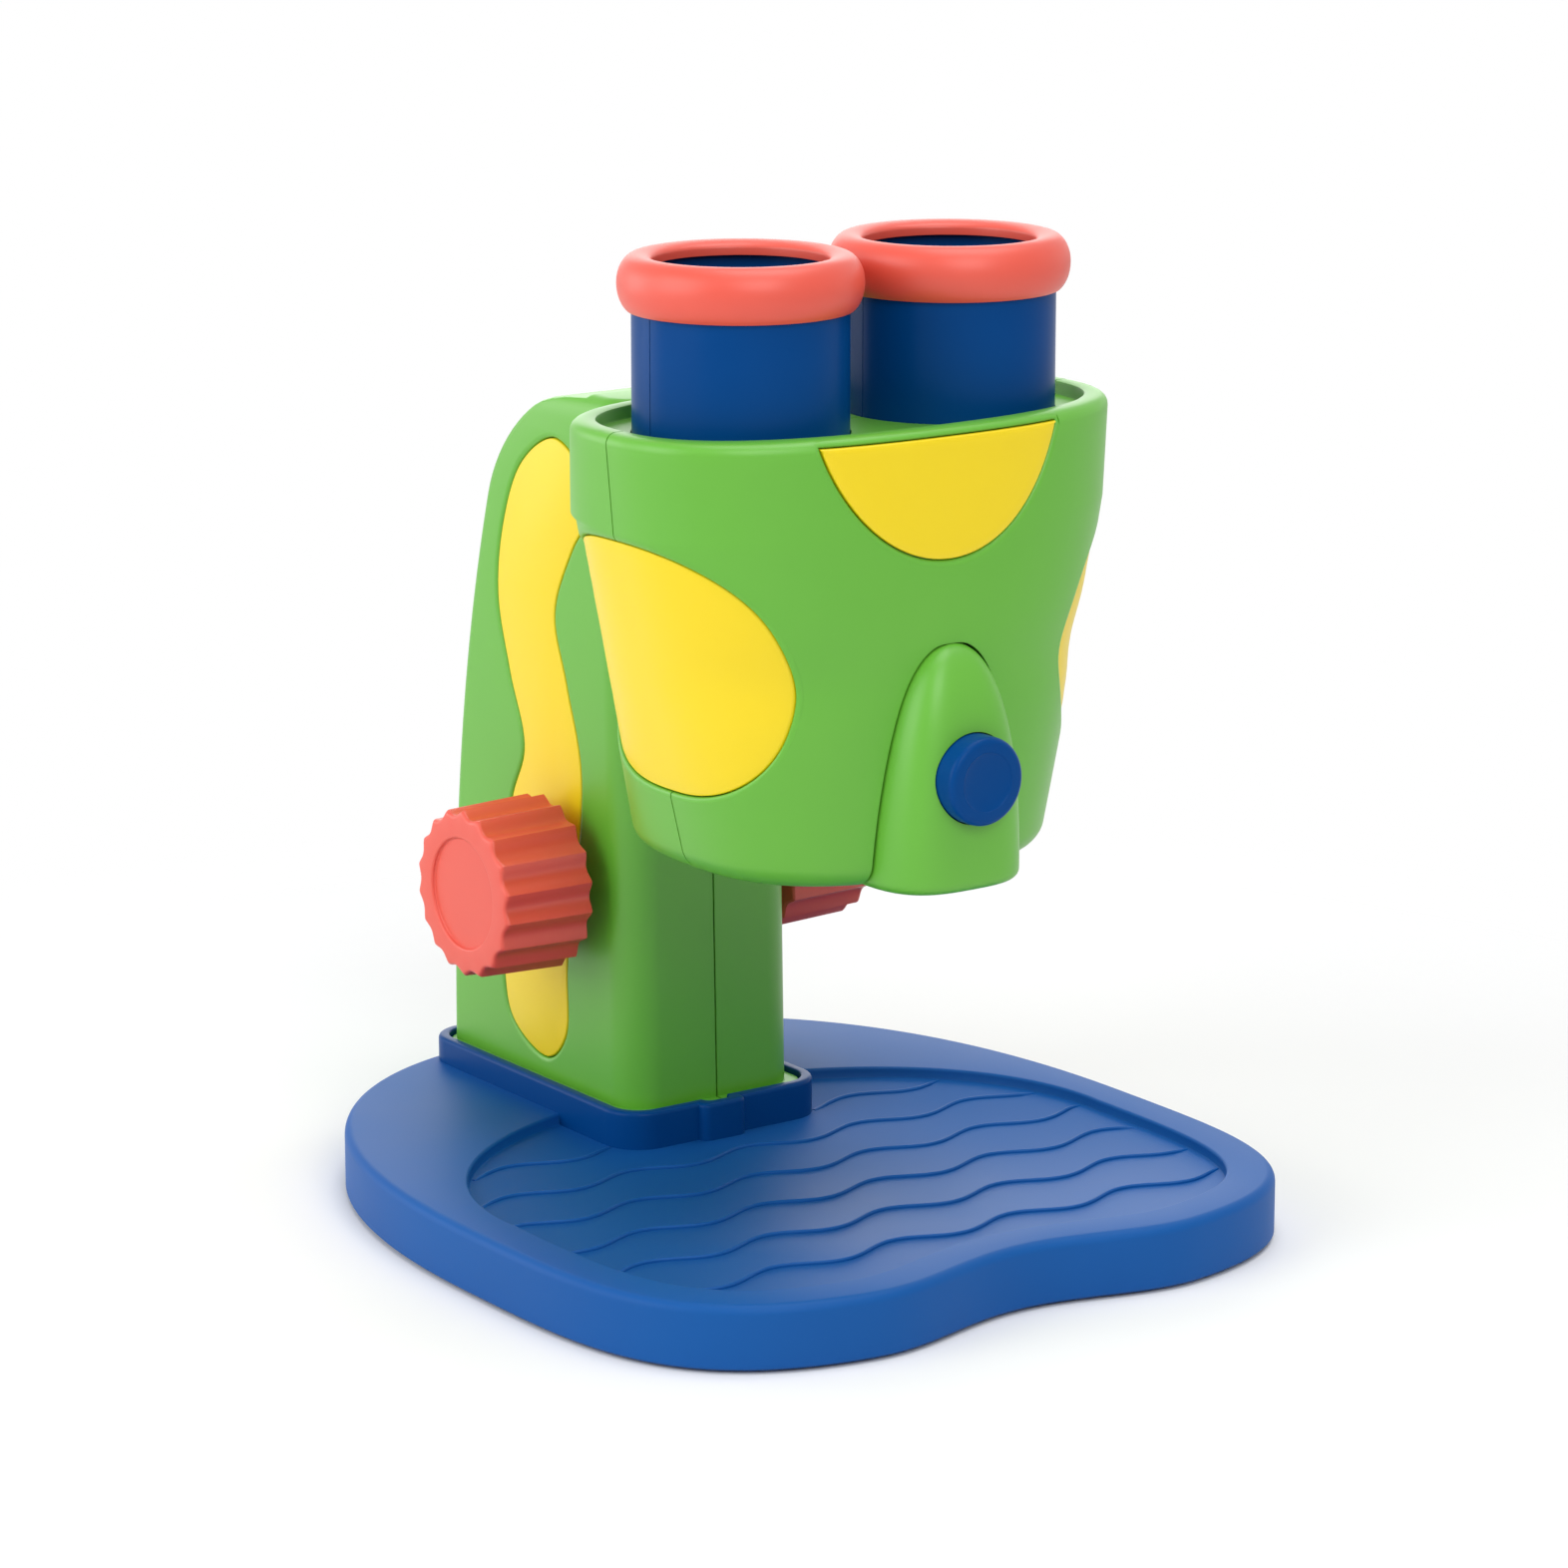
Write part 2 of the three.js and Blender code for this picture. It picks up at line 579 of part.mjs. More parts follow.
const columnInner = COLUMN_HALF_WIDTH - WALL;
const columnScrewSpots = [
  [COLUMN_FRONT_Y + COLUMN_FRONT_CORNER, BASE_TOP + COLUMN_SCREW_FRONT_HEIGHT],
  ...COLUMN_SCREW_HEIGHTS.map((height) => {
    const z = BASE_TOP + height;
    return [columnRearAt(z) - WALL - BOSS_RADIUS - 1, z];
  }),
];
const columnScrewSeat = COLUMN_HALF_WIDTH - SCREW_SINK - SCREW_HEAD;

// Where the carriage runs inside the column
const pitchRadius = (GEAR_MODULE * GEAR_TEETH) / 2;
const plateFront = COLUMN_FRONT_Y + COLUMN_FRONT_DRAFT + WALL + GUIDE_THICKNESS + GAP;
const plateRear = plateFront + PLATE_THICKNESS;
const plateHalf = columnInner - GUIDE_SIDE;
const rackReach = GEAR_MODULE * Math.PI * 2.5;
const rackBottom = SHAFT_Z - HEAD_RAISE - rackReach;
const rackTop = SHAFT_Z + HEAD_LOWER + rackReach;

// The channel on each side that the carriage plate slides in.
function guides() {
  const low = rackBottom - HEAD_LOWER - GAP;
  const inner = plateHalf - GUIDE_REACH;
  const back = plateRear + GAP;
  const front = plateFront - GAP;
  const channels = [-1, 1].map((side) => {
    const across = (from, to, y0, y1) => {
      const ends = [side * from, side * to].sort((a, b) => a - b);
      return block(ends[0], ends[1], y0, y1, low, COLUMN_TOP);
    };
    return join(
      across(plateHalf + GAP, COLUMN_HALF_WIDTH, front - GUIDE_THICKNESS, back + GUIDE_THICKNESS),
      across(inner, COLUMN_HALF_WIDTH, front - GUIDE_THICKNESS, front),
      across(inner, COLUMN_HALF_WIDTH, back, back + GUIDE_THICKNESS),
    );
  });
  return join(...channels).intersect(columnBody(WALL / 2));
}

// Everything of the inlay's S that stands clear of the plain disc behind the knob.
function inlayPrism(margin, x0, x1) {
  const disc = alongX(bar(HUB_RADIUS - margin, x0 - 1, x1 + 1, ROUND)).translate([0, SHAFT_Y, SHAFT_Z]);
  return cut(prismX(inlayOutline(margin), x0, x1), disc);
}

function makeColumn() {
  const tall = 2 * COLUMN_TOP;
  const above = block(-tall, tall, -tall, tall, footBottom, tall);
  let body = join(columnBody(0), footPlan(0, footBottom - 1, footTop));
  body = cut(body, columnBody(WALL));
  const bosses = columnScrewSpots.map(([y, z]) =>
    alongX(bar(BOSS_RADIUS, -COLUMN_HALF_WIDTH, COLUMN_HALF_WIDTH)).translate([0, y, z]));
  const stands = baseScrewSpots.map(([x, y]) =>
    bar(BOSS_RADIUS, 0, footBottom + BASE_SCREW_LENGTH - BASE_WALL).translate([x, y, 0]));
  body = join(body, guides(), join(...bosses, ...stands).intersect(columnBody(WALL / 2))).intersect(above);

  const neckHalf = NECK_HALF_WIDTH + 2 * GAP;
  const slot = block(-neckHalf, neckHalf, COLUMN_FRONT_Y - WALL, plateFront, NECK_BOTTOM - HEAD_LOWER - GAP,
    NECK_TOP + HEAD_RAISE + GAP);
  const shaftHole = alongX(bar(BUSH_RADIUS + GAP, -REACH, REACH, ROUND / 2)).translate([0, SHAFT_Y, SHAFT_Z]);
  const screwHoles = columnScrewSpots.map(([y, z]) =>
    alongX(screwHole(COLUMN_SCREW_LENGTH)).translate([columnScrewSeat, y, z]));
  const footHoles = baseScrewSpots.map(([x, y]) =>
    bar(SCREW_RADIUS + GAP, 0, trayTop + BASE_SCREW_LENGTH + GAP).translate([x, y, 0]));
  const window = inlayPrism(0, columnInner - WALL / 2, REACH);
  body = cut(body, slot, shaftHole, ...screwHoles, ...footHoles, window, window.mirror([1, 0, 0]));

  piece("column_left_shell", GREEN, body.intersect(block(-tall, -GAP / 2, -tall, tall, 0, tall)));
  piece("column_right_shell", GREEN, body.intersect(block(GAP / 2, tall, -tall, tall, 0, tall)));

  // Each inlay fills its window and has a wider lip behind the wall.
  const outer = COLUMN_HALF_WIDTH + INLAY_PROUD;
  const lip = columnInner - GAP;
  const right = join(
    inlayPrism(-GAP, lip - INLAY_LIP_THICKNESS / 2, outer),
    cut(inlayPrism(INLAY_LIP, lip - INLAY_LIP_THICKNESS, lip)),
  );
  piece("column_inlay_right", YELLOW, right);
  piece("column_inlay_left", YELLOW, right.mirror([1, 0, 0]));

  const columnScrew = alongX(screw(COLUMN_SCREW_LENGTH));
  columnScrewSpots.forEach(([y, z], i) =>
    piece(`column_screw_${i + 1}`, STEEL, columnScrew.translate([columnScrewSeat, y, z])));
  const baseScrew = screw(BASE_SCREW_LENGTH).rotate([180, 0, 0]);
  baseScrewSpots.forEach(([x, y], i) =>
    piece(`base_screw_${i + 1}`, STEEL, baseScrew.translate([x, y, trayTop - GAP])));
}

// Focus drive

// Half the angle that a pinion tooth fills at a radius, by the involute of its base circle.
function toothHalfAngle(radius) {
  const involute = (angle) => Math.tan(angle) - angle;
  const baseRadius = pitchRadius * Math.cos(PRESSURE_ANGLE);
  const atPitch = ((Math.PI * GEAR_MODULE) / 2 - GEAR_BACKLASH / 2) / (2 * pitchRadius);
  const lean = Math.acos(Math.min(1, baseRadius / radius));
  return atPitch + involute(PRESSURE_ANGLE) - involute(lean);
}

function pinionOutline() {
  const root = pitchRadius - GEAR_DEDENDUM * GEAR_MODULE;
  const tip = pitchRadius + GEAR_MODULE;
  const flank = [root, pitchRadius * Math.cos(PRESSURE_ANGLE), pitchRadius, tip];
  const outline = [];
  for (let tooth = 0; tooth < GEAR_TEETH; tooth++) {
    const middle = Math.PI + (tooth * 2 * Math.PI) / GEAR_TEETH;
    const side = (sign) => flank.map((radius) => {
      const angle = middle + sign * toothHalfAngle(radius);
      return new THREE.Vector2(radius * Math.cos(angle), radius * Math.sin(angle));
    });
    outline.push(...side(-1), ...side(1).reverse());
  }
  return new THREE.Shape(outline);
}

// The rack's side outline, with its teeth towards the pinion and a gap level with the shaft.
function rackOutline() {
  const pitch = Math.PI * GEAR_MODULE;
  const pitchLine = SHAFT_Y - pitchRadius;
  const tip = pitchLine + RACK_ADDENDUM * GEAR_MODULE;
  const root = pitchLine - GEAR_DEDENDUM * GEAR_MODULE;
  const halfAt = (y) => pitch / 4 - GEAR_BACKLASH / 4 - (y - pitchLine) * Math.tan(PRESSURE_ANGLE);
  const outline = new THREE.Shape();
  outline.moveTo(plateRear - PLATE_THICKNESS / 2, rackBottom);
  outline.lineTo(root, rackBottom);
  const count = Math.floor((rackTop - rackBottom) / pitch) - 1;
  const first = SHAFT_Z - pitch * (Math.floor((SHAFT_Z - rackBottom) / pitch) - 0.5);
  for (let i = 0; i < count; i++) {
    const z = first + i * pitch;
    outline.lineTo(root, z - halfAt(root));
    outline.lineTo(tip, z - halfAt(tip));
    outline.lineTo(tip, z + halfAt(tip));
    outline.lineTo(root, z + halfAt(root));
  }
  outline.lineTo(root, rackTop);
  outline.lineTo(plateRear - PLATE_THICKNESS / 2, rackTop);
  return outline;
}

// A fluted knob standing on Z from its inner end, with a sunk disc in its outer face.
function knob() {
  const flutePoints = KNOB_FLUTES * 3;
  const section = (radius, z) => Array.from({ length: flutePoints }, (_, i) => {
    const angle = (i / flutePoints) * Math.PI * 2;
    const wave = (KNOB_FLUTE_DEPTH / 2) * (1 - Math.cos(angle * KNOB_FLUTES));
    return new THREE.Vector3((radius - wave) * Math.cos(angle), (radius - wave) * Math.sin(angle), z);
  });
  const tip = KNOB_RADIUS - KNOB_DRAFT;
  const body = loft([
    section(KNOB_RADIUS, 0),
    section(tip, KNOB_LENGTH - KNOB_EDGE),
    section(tip - KNOB_EDGE, KNOB_LENGTH),
  ]);
  const disc = bar(KNOB_DISC_RADIUS, KNOB_LENGTH - KNOB_DISC_DEPTH, KNOB_LENGTH + 1, ROUND);
  const bore = bar(SHAFT_RADIUS + GAP, -1, knobBore + GAP);
  return cut(body, disc, bore);
}

const knobBore = KNOB_LENGTH * 0.7;
const knobStart = COLUMN_HALF_WIDTH + KNOB_STANDOFF;

function makeFocusDrive() {
  const shaftEnd = knobStart + knobBore;
  const seat = (body) => body.translate([0, SHAFT_Y, SHAFT_Z]);
  piece("focus_shaft", STEEL, seat(alongX(bar(SHAFT_RADIUS, -shaftEnd, shaftEnd))));
  const bore = alongX(bar(SHAFT_RADIUS + GAP, -GEAR_WIDTH, GEAR_WIDTH));
  piece("focus_pinion", NYLON, seat(cut(prismX(pinionOutline(), -GEAR_WIDTH / 2, GEAR_WIDTH / 2), bore)));
  const right = alongX(knob()).translate([knobStart, 0, 0]);
  piece("focus_knob_right", CORAL, seat(right));
  piece("focus_knob_left", CORAL, seat(right.mirror([1, 0, 0])));

  const inside = columnInner - GAP;
  const flangeEnd = inside - BUSH_FLANGE;
  const wallFace = COLUMN_HALF_WIDTH + GAP;
  const bushBore = SHAFT_RADIUS + GAP;
  const bush = revolve([
    [bushBore, flangeEnd], [BUSH_FLANGE_RADIUS, flangeEnd], [BUSH_FLANGE_RADIUS, inside],
    [BUSH_RADIUS, inside], [BUSH_RADIUS, wallFace], [bushBore, wallFace],
  ], ROUND / 2);
  piece("shaft_bush_right", NYLON, seat(alongX(bush)));
  piece("shaft_bush_left", NYLON, seat(alongX(bush).mirror([1, 0, 0])));
}

// Head

const deckTop = HEAD_TOP - RIM_HEIGHT;
const deckUnder = deckTop - HEAD_WALL;

// Half width and front and rear depth of the head at a level.
function headSize(z) {
  const share = (z - HEAD_BOTTOM) / (HEAD_TOP - HEAD_BOTTOM);
  const band = (z - HEAD_BAND_BOTTOM) / (HEAD_TOP - HEAD_BAND_BOTTOM);
  const flank = (z - HEAD_BOTTOM) / (HEAD_BAND_BOTTOM - HEAD_BOTTOM);
  const half = band > 0
    ? lerp(HEAD_BAND_HALF_WIDTH, HEAD_TOP_HALF_WIDTH, band)
    : lerp(HEAD_LOW_HALF_WIDTH, HEAD_BAND_HALF_WIDTH, flank);
  const front = HEAD_TOP_DEPTH + HEAD_FRONT_SWELL * Math.sin(Math.PI * clamp(share, 0, 1));
  const rear = lerp(HEAD_LOW_REAR_DEPTH, HEAD_TOP_DEPTH, share);
  const waist = HEAD_WAIST * Math.exp(-(((z - HEAD_WAIST_Z) / HEAD_WAIST_SPREAD) ** 2));
  return { half, front, rear, frontRoundness: HEAD_ROUNDNESS - waist };
}

// The level ring of the head, pulled in by an inset.
function headRing(z, inset) {
  const { half, front, rear, frontRoundness } = headSize(z);
  return Array.from({ length: HEAD_POINTS }, (_, i) => {
    const angle = (i / HEAD_POINTS) * Math.PI * 2;
    const ahead = Math.sin(angle) < 0;
    const [x, y] = ovalPoint(angle, half - inset, (ahead ? front : rear) - inset,
      ahead ? frontRoundness : HEAD_ROUNDNESS);
    return new THREE.Vector3(x, y + EYE_Y, z);
  });
}

// The outer form of the head pulled in by an inset, up to a level, with a round bottom edge.
function headBody(inset, top) {
  const bottom = HEAD_BOTTOM + inset;
  const edge = Math.max(HEAD_BOTTOM_EDGE - inset, 1);
  const turns = [0, 0.4, 1].map((share) => (share * Math.PI) / 2);
  const foot = turns.map((turn) => {
    const z = bottom + edge * (1 - Math.sin(turn));
    return headRing(z, inset + edge * (1 - Math.cos(turn)));
  });
  const waists = [-1.4, -0.4, 0.7].map((k) => HEAD_WAIST_Z + k * HEAD_WAIST_SPREAD);
  const levels = [...waists, HEAD_BAND_BOTTOM].filter((z) => z > bottom + edge && z < top - HEAD_TOP_EDGE);
  return loft([...foot.reverse(), ...levels.map((z) => headRing(z, inset)), headRing(top, inset)]);
}

// The head's outside, with its top edge softened.
function headOutside() {
  const body = headBody(0, HEAD_TOP - HEAD_TOP_EDGE);
  const edge = HEAD_TOP_EDGE;
  const cap = loft([headRing(HEAD_TOP - edge, 0), headRing(HEAD_TOP - edge * 0.3, edge * 0.3),
    headRing(HEAD_TOP, edge)]);
  return join(body, cap);
}

// Where the outside of the head's back lies at a place.
function headRearY(x, z) {
  const { half, rear } = headSize(z);
  return EYE_Y + rear * (1 - Math.abs(x / half) ** HEAD_ROUNDNESS) ** (1 / HEAD_ROUNDNESS);
}

// The half-round front panel's outline, grown by a margin, carried through the front of the head.
function frontPanelPrism(margin) {
  const half = FRONT_PANEL_HALF_WIDTH + margin;
  const arc = Array.from({ length: ROUND / 2 + 1 }, (_, i) => {
    const [x, z] = ovalPoint(Math.PI * (1 + (2 * i) / ROUND), half, FRONT_PANEL_DROP + margin, 2);
    return new THREE.Vector2(x, HEAD_TOP + z);
  });
  const over = [new THREE.Vector2(half, HEAD_TOP + 1), new THREE.Vector2(-half, HEAD_TOP + 1)];
  return prismY(new THREE.Shape([...arc, ...over]), EYE_Y - 2 * HEAD_TOP_DEPTH, EYE_Y - HEAD_TOP_DEPTH / 3);
}

// The right side panel's outline, grown by a margin, carried through the side of the head.
function sidePanelPrism(margin) {
  const points = Array.from({ length: ROUND }, (_, i) => {
    const [y, z] = ovalPoint((i / ROUND) * 2 * Math.PI, SIDE_PANEL_HALF_DEPTH + margin,
      SIDE_PANEL_HALF_HEIGHT + margin, SIDE_PANEL_ROUNDNESS);
    return new THREE.Vector2(SIDE_PANEL_Y + y, SIDE_PANEL_Z + z);
  });
  return prismX(new THREE.Shape(points), EYE_X / 2, 3 * EYE_X);
}

const headScrewSpots = HEAD_SCREWS.flatMap(([x, height]) => [-x, x].map((at) => [at, HEAD_BOTTOM + height]));
const headScrewSeat = ([x, z]) => headRearY(x, z) - SCREW_HEAD - HEAD_SCREW_SINK;
const carriageScrewZs = [NECK_BOTTOM + BOSS_RADIUS * 2, NECK_TOP - BOSS_RADIUS * 2];
const carriageScrewSeat = (z) => headRearY(NECK_HALF_WIDTH / 2, z) - HEAD_WALL - 2 * GAP;
const ringRadius = OBJECTIVE_RADIUS + OBJECTIVE_RING_WALL;

function makeHead() {
  const outside = headOutside();
  const over = HEAD_TOP + 1;
  const deckPocket = loft([headRing(deckTop, RIM_WIDTH), headRing(over, RIM_WIDTH)]);
  const bosses = headScrewSpots.map(([x, z]) =>
    alongY(bar(BOSS_RADIUS, -REACH, REACH)).translate([x, EYE_Y, z]));
  let body = cut(outside, headBody(HEAD_WALL, deckUnder), deckPocket);
  body = join(body, join(...bosses).intersect(headBody(HEAD_WALL / 2, deckUnder)));

  // Pockets for the panels, and openings for the eyepieces, the objective and the light.
  const frontPocket = cut(frontPanelPrism(0), headBody(PANEL_THICKNESS + GAP, over));
  const sidePocket = cut(sidePanelPrism(0), headBody(SIDE_PANEL_SUNK + PANEL_THICKNESS + GAP, over));
  const eyeHole = bar(TUBE_RADIUS + GAP, deckUnder - 1, over, ROUND);
  const objectiveHole = bar(ringRadius + GAP, HEAD_BOTTOM - 1, headFloor + 1, ROUND);
  const neckHole = alongY(bar(SCREW_RADIUS + GAP, 0, REACH));
  body = cut(
    body, frontPocket, sidePocket, sidePocket.mirror([1, 0, 0]),
    eyeHole.translate([-EYE_X, EYE_Y, 0]), eyeHole.translate([EYE_X, EYE_Y, 0]),
    objectiveHole.translate([0, EYE_Y, 0]), noseBody(-GAP), doorPlan(GAP, HEAD_BOTTOM - 1, headFloor + 1),
    ...headScrewSpots.map((spot) =>
      alongY(screwHole(HEAD_SCREW_LENGTH)).translate([spot[0], headScrewSeat(spot), spot[1]])),
    ...carriageScrewZs.map((z) => neckHole.translate([0, EYE_Y + HEAD_TOP_DEPTH / 2, z])),
  );
  const wide = 2 * HEAD_TOP;
  piece("head_front_shell", GREEN, body.intersect(block(-wide, wide, -wide, EYE_Y - GAP / 2, 0, wide)));
  piece("head_rear_shell", GREEN, body.intersect(block(-wide, wide, EYE_Y + GAP / 2, wide, 0, wide)));

  const frontPanel = frontPanelPrism(-GAP).intersect(outside);
  piece("head_front_panel", YELLOW, cut(frontPanel, headBody(PANEL_THICKNESS, over)));
  const sidePanel = cut(sidePanelPrism(-GAP).intersect(headBody(SIDE_PANEL_SUNK, over)),
    headBody(SIDE_PANEL_SUNK + PANEL_THICKNESS, over));
  piece("head_side_panel_right", YELLOW, sidePanel);
  piece("head_side_panel_left", YELLOW, sidePanel.mirror([1, 0, 0]));

  headScrewSpots.forEach((spot, i) =>
    piece(`head_screw_${i + 1}`, STEEL,
      alongY(screw(HEAD_SCREW_LENGTH)).translate([spot[0], headScrewSeat(spot), spot[1]])));
}

// The carriage holds the head's neck, slides in the column and carries the rack.
function makeCarriage() {
  const neck = cut(
    block(-NECK_HALF_WIDTH, NECK_HALF_WIDTH, EYE_Y, plateFront + PLATE_THICKNESS / 2, NECK_BOTTOM, NECK_TOP),
    headBody(-GAP, HEAD_TOP),
  );
  const plate = block(-plateHalf, plateHalf, plateFront, plateRear, rackBottom, NECK_TOP);
  const rack = prismX(rackOutline(), -GEAR_WIDTH / 2, GEAR_WIDTH / 2);
  const turned = (body, z) => body.rotate([90, 0, 0]).translate([0, carriageScrewSeat(z), z]);
  const holes = carriageScrewZs.map((z) => turned(screwHole(CARRIAGE_SCREW_LENGTH), z));
  piece("focus_carriage", NYLON, cut(join(plate, rack, neck), ...holes));
  carriageScrewZs.forEach((z, i) =>
    piece(`carriage_screw_${i + 1}`, STEEL, turned(screw(CARRIAGE_SCREW_LENGTH), z)));
}

// Eyepieces

function makeEyepieces() {
  const bore = TUBE_RADIUS - TUBE_WALL;
  const flange = TUBE_RADIUS + TUBE_FLANGE;
  const flangeTop = deckUnder - GAP;
  const seatTop = TUBE_BOTTOM + LENS_SEAT;
  const tube = revolve([[bore - LENS_SEAT, TUBE_BOTTOM], [TUBE_RADIUS, TUBE_BOTTOM],
    [TUBE_RADIUS, flangeTop - TUBE_FLANGE], [flange, flangeTop - TUBE_FLANGE], [flange, flangeTop],
    [TUBE_RADIUS, flangeTop], [TUBE_RADIUS, TUBE_TOP], [bore, TUBE_TOP], [bore, seatTop],
    [bore - LENS_SEAT, seatTop]], ROUND);
  const lensRim = bore - GAP;
  const lensLow = seatTop + GAP;
  const lensHigh = lensLow + LENS_EDGE;
  const bulge = (LENS_THICKNESS - LENS_EDGE) / 2;
  const lens = revolve([
    [0, lensLow - bulge], [lensRim - 2 * LENS_SEAT, lensLow], [lensRim, lensLow],
    [lensRim, lensHigh], [lensRim * 0.6, lensHigh + bulge * 0.64], [0, lensHigh + bulge],
  ], ROUND);

  // The rim is a fat ring that caps the tube, with a skirt round its outside.
  const skirt = TUBE_RADIUS + GAP;
  const capUnder = TUBE_TOP + GAP;
  const skirtBottom = TUBE_TOP - RIM_RING_SKIRT;
  const fat = (RIM_RING_RADIUS - RIM_RING_HOLE) / 2;
  const rise = (RIM_RING_TOP - capUnder) / 2;
  const middle = [RIM_RING_HOLE + fat, capUnder + rise];
  const arc = [-0.1, 0.2, 0.5, 0.8, 1].map((turn) =>
    [middle[0] + fat * Math.cos(turn * Math.PI), middle[1] + rise * Math.sin(turn * Math.PI)]);
  const rim = revolve([
    [skirt, skirtBottom], [skirt + RIM_RING_SKIRT_WALL, skirtBottom],
    [skirt + RIM_RING_SKIRT_WALL, capUnder - GAP], ...arc, [RIM_RING_HOLE + GAP, capUnder], [skirt, capUnder],
  ], ROUND);

  const wide = 2 * HEAD_TOP;
  for (const [side, x] of [["left", -EYE_X], ["right", EYE_X]]) {
    const place = (body) => body.translate([x, EYE_Y, 0]);
    const frontHalf = tube.intersect(block(-wide, wide, -wide, -GAP / 2, 0, wide));
    const rearHalf = tube.intersect(block(-wide, wide, GAP / 2, wide, 0, wide));
    piece(`eyepiece_tube_${side}_front`, TUBE_BLUE, place(frontHalf));
    piece(`eyepiece_tube_${side}_rear`, TUBE_BLUE, place(rearHalf));
    piece(`eyepiece_lens_${side}`, CLEAR, place(lens));
    piece(`eyepiece_rim_${side}`, CORAL, place(rim));
  }
}

function makeObjective() {
  const low = HEAD_BOTTOM - OBJECTIVE_RING_WALL / 2;
  const shoulder = headFloor + GAP;
  const top = low + OBJECTIVE_RING_HEIGHT;
  const seat = OBJECTIVE_RADIUS - 1;
  const lensLow = HEAD_BOTTOM + GAP;
  const bulge = (OBJECTIVE_THICKNESS - LENS_EDGE) / 2;
  const flange = ringRadius + OBJECTIVE_FLANGE;
  const pocket = OBJECTIVE_RADIUS + GAP;
  const ringProfile = [
    [seat, low], [ringRadius, low], [ringRadius, shoulder], [flange, shoulder],
    [flange, top], [pocket, top], [pocket, HEAD_BOTTOM], [seat, HEAD_BOTTOM],
  ];
  piece("objective_ring", TUBE_BLUE, revolve(ringProfile, ROUND).translate([0, EYE_Y, 0]));
  const lens = revolve([[0, lensLow], [OBJECTIVE_RADIUS, lensLow], [OBJECTIVE_RADIUS, lensLow + LENS_EDGE],
    [OBJECTIVE_RADIUS * 0.6, lensLow + LENS_EDGE + bulge * 0.64], [0, lensLow + LENS_EDGE + bulge]], ROUND);
  piece("objective_lens", CLEAR, lens.translate([0, EYE_Y, 0]));
}

// Light housing, button and the light's own parts

const noseShoulder = NOSE_TOP - NOSE_ARCH;

// Half width of the light housing at a level: straight sides under a tall arch.
function noseHalf(z, inset) {
  const rise = Math.max(0, (z - noseShoulder) / NOSE_ARCH);
  return Math.max((NOSE_HALF_WIDTH - inset) * Math.sqrt(Math.max(0, 1 - rise * rise)), NOSE_EDGE / 4);
}

// How far forward the housing stands at a level: out of the head at its tip, fullest at its foot.
function noseFront(z) {
  const share = clamp((z - NOSE_BOTTOM) / (NOSE_TOP - NOSE_BOTTOM), 0, 1);
  const tip = EYE_Y - headSize(NOSE_TOP).front - NOSE_TIP_PROUD;
  return lerp(NOSE_FRONT_Y, tip, share * share);
}

// The housing pulled in by an inset: level D-shaped rings with a flat back.
function noseBody(inset) {
  const bottom = NOSE_BOTTOM + inset;
  const arch = [0, 0.45, 0.75, 0.92, 1].map((share) => noseShoulder + (NOSE_ARCH - inset) * share);
  const levels = [[bottom, NOSE_EDGE], [bottom + NOSE_EDGE, 0], ...arch.map((z) => [z, 0])];
  const back = NOSE_BACK_Y + (inset > 0 ? 1 : -inset);
  return loft(levels.map(([z, edge]) => {
    const half = Math.max(noseHalf(z + inset, inset) - edge, NOSE_EDGE / 4);
    const depth = back - noseFront(z) - inset - edge;
    return Array.from({ length: NOSE_POINTS }, (_, i) => {
      const angle = Math.PI + (i / (NOSE_POINTS - 1)) * Math.PI;
      const [x, y] = ovalPoint(angle, half, depth, HEAD_ROUNDNESS);
      return new THREE.Vector3(x, back + y, z);
    });
  }));
}

// The battery door's plan grown by a margin, behind the housing in the floor of the head.
function doorPlan(margin, z0, z1) {
  const half = doorScrewX + DOOR_BOSS_RADIUS + margin;
  return block(-half, half, chassisRear - margin, trayRear + margin, z0, z1);
}

const chassisFront = NOSE_BACK_Y + GAP;
const chassisRear = chassisFront + CHASSIS_PLATE;
const cellY = chassisRear + GAP + CELL_RADIUS;
const cellX = CELL_RADIUS + GAP;
const headFloor = HEAD_BOTTOM + HEAD_WALL;
const trayHalf = 2 * CELL_RADIUS + 2 * GAP + TRAY_WALL;
const trayRear = cellY + CELL_RADIUS + GAP + TRAY_WALL;
const doorScrewX = trayHalf + DOOR_BOSS_RADIUS * 0.7;
const cellBottom = headFloor + 3 * GAP + CONTACT_THICKNESS;
const cellTop = cellBottom + CELL_LENGTH;

